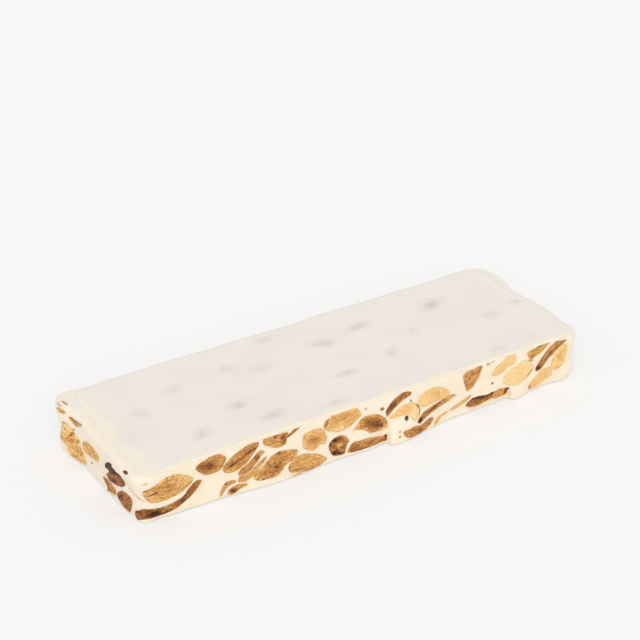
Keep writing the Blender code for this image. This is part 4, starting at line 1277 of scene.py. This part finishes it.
def build_floor():
    """The floor that the bar lies on."""
    bpy.ops.mesh.primitive_plane_add(size=FLOOR_SIZE, location=(0.0, 0.0, -FLOOR_DROP))
    floor = bpy.context.object
    floor.name = "floor"
    floor.data.materials.append(floor_material())


def build_lights():
    """Even white surroundings with one soft lamp from the front and above."""
    world = bpy.data.worlds.new("surroundings")
    bpy.context.scene.world = world
    world.use_nodes = True
    sky = world.node_tree.nodes["Background"]
    sky.inputs["Color"].default_value = (1.0, 1.0, 1.0, 1.0)
    sky.inputs["Strength"].default_value = WORLD_STRENGTH
    lamp = bpy.data.lights.new("soft_lamp", "SUN")
    lamp.angle = math.radians(LAMP_SPREAD)
    lamp.energy = LAMP_ENERGY
    holder = bpy.data.objects.new("soft_lamp", lamp)
    bpy.context.scene.collection.objects.link(holder)
    holder.location = LAMP_PLACE
    aim = Vector((0.0, 0.0, 0.01)) - holder.location
    holder.rotation_euler = aim.to_track_quat("-Z", "Y").to_euler()


def camera_axes():
    """The camera's right, up and back directions."""
    azimuth, elevation = math.radians(AZIMUTH), math.radians(ELEVATION)
    back = Vector((math.sin(azimuth) * math.cos(elevation),
                   -math.cos(azimuth) * math.cos(elevation), math.sin(elevation)))
    right = (-back).cross(Vector((0, 0, 1))).normalized()
    return right, right.cross(-back), back


def camera_place():
    """Where the camera stands, in metres."""
    right, up, back = camera_axes()
    middle = Vector((*BAR_MIDDLE, BAR_FOOT))
    return (middle + back * CAMERA_BACK + right * CAMERA_RIGHT + up * CAMERA_UP) * MM


def build_camera():
    """The camera, at the bar's front left and above it."""
    camera = bpy.data.cameras.new("camera")
    camera.sensor_width = SENSOR
    camera.lens = LENS
    camera.clip_end = 20.0
    holder = bpy.data.objects.new("camera", camera)
    bpy.context.scene.collection.objects.link(holder)
    holder.location = camera_place()
    holder.rotation_euler = Matrix(camera_axes()).transposed().to_euler()
    bpy.context.scene.camera = holder


def main():
    """Build the bar's pieces on the frame, then the floor, the lights and the camera."""
    bpy.context.scene.view_settings.view_transform = "Standard"
    solids = [solid for name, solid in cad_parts.items() if not name.startswith("wafer")]
    strip = SideStrip(solids)
    almonds = read_almonds(strip)
    almonds += extra_almonds(strip, almonds)
    chips = make_chips(strip, len(almonds))
    marks = placed(FRONT_MARKS, "front", strip) + placed(LEFT_MARKS, "left", strip)
    almond_look = almond_material()
    for almond in almonds + chips:
        build_almond(almond, strip, marks, almond_look)
    build_nougat(strip, almonds + chips, nougat_material())
    wafer_look = wafer_material()
    build_sheet("wafer_top", "sheet_top", wafer_look, True, strip)
    build_sheet("wafer_bottom", "sheet_bottom", wafer_look, False, strip)
    build_floor()
    build_lights()
    build_camera()


main()
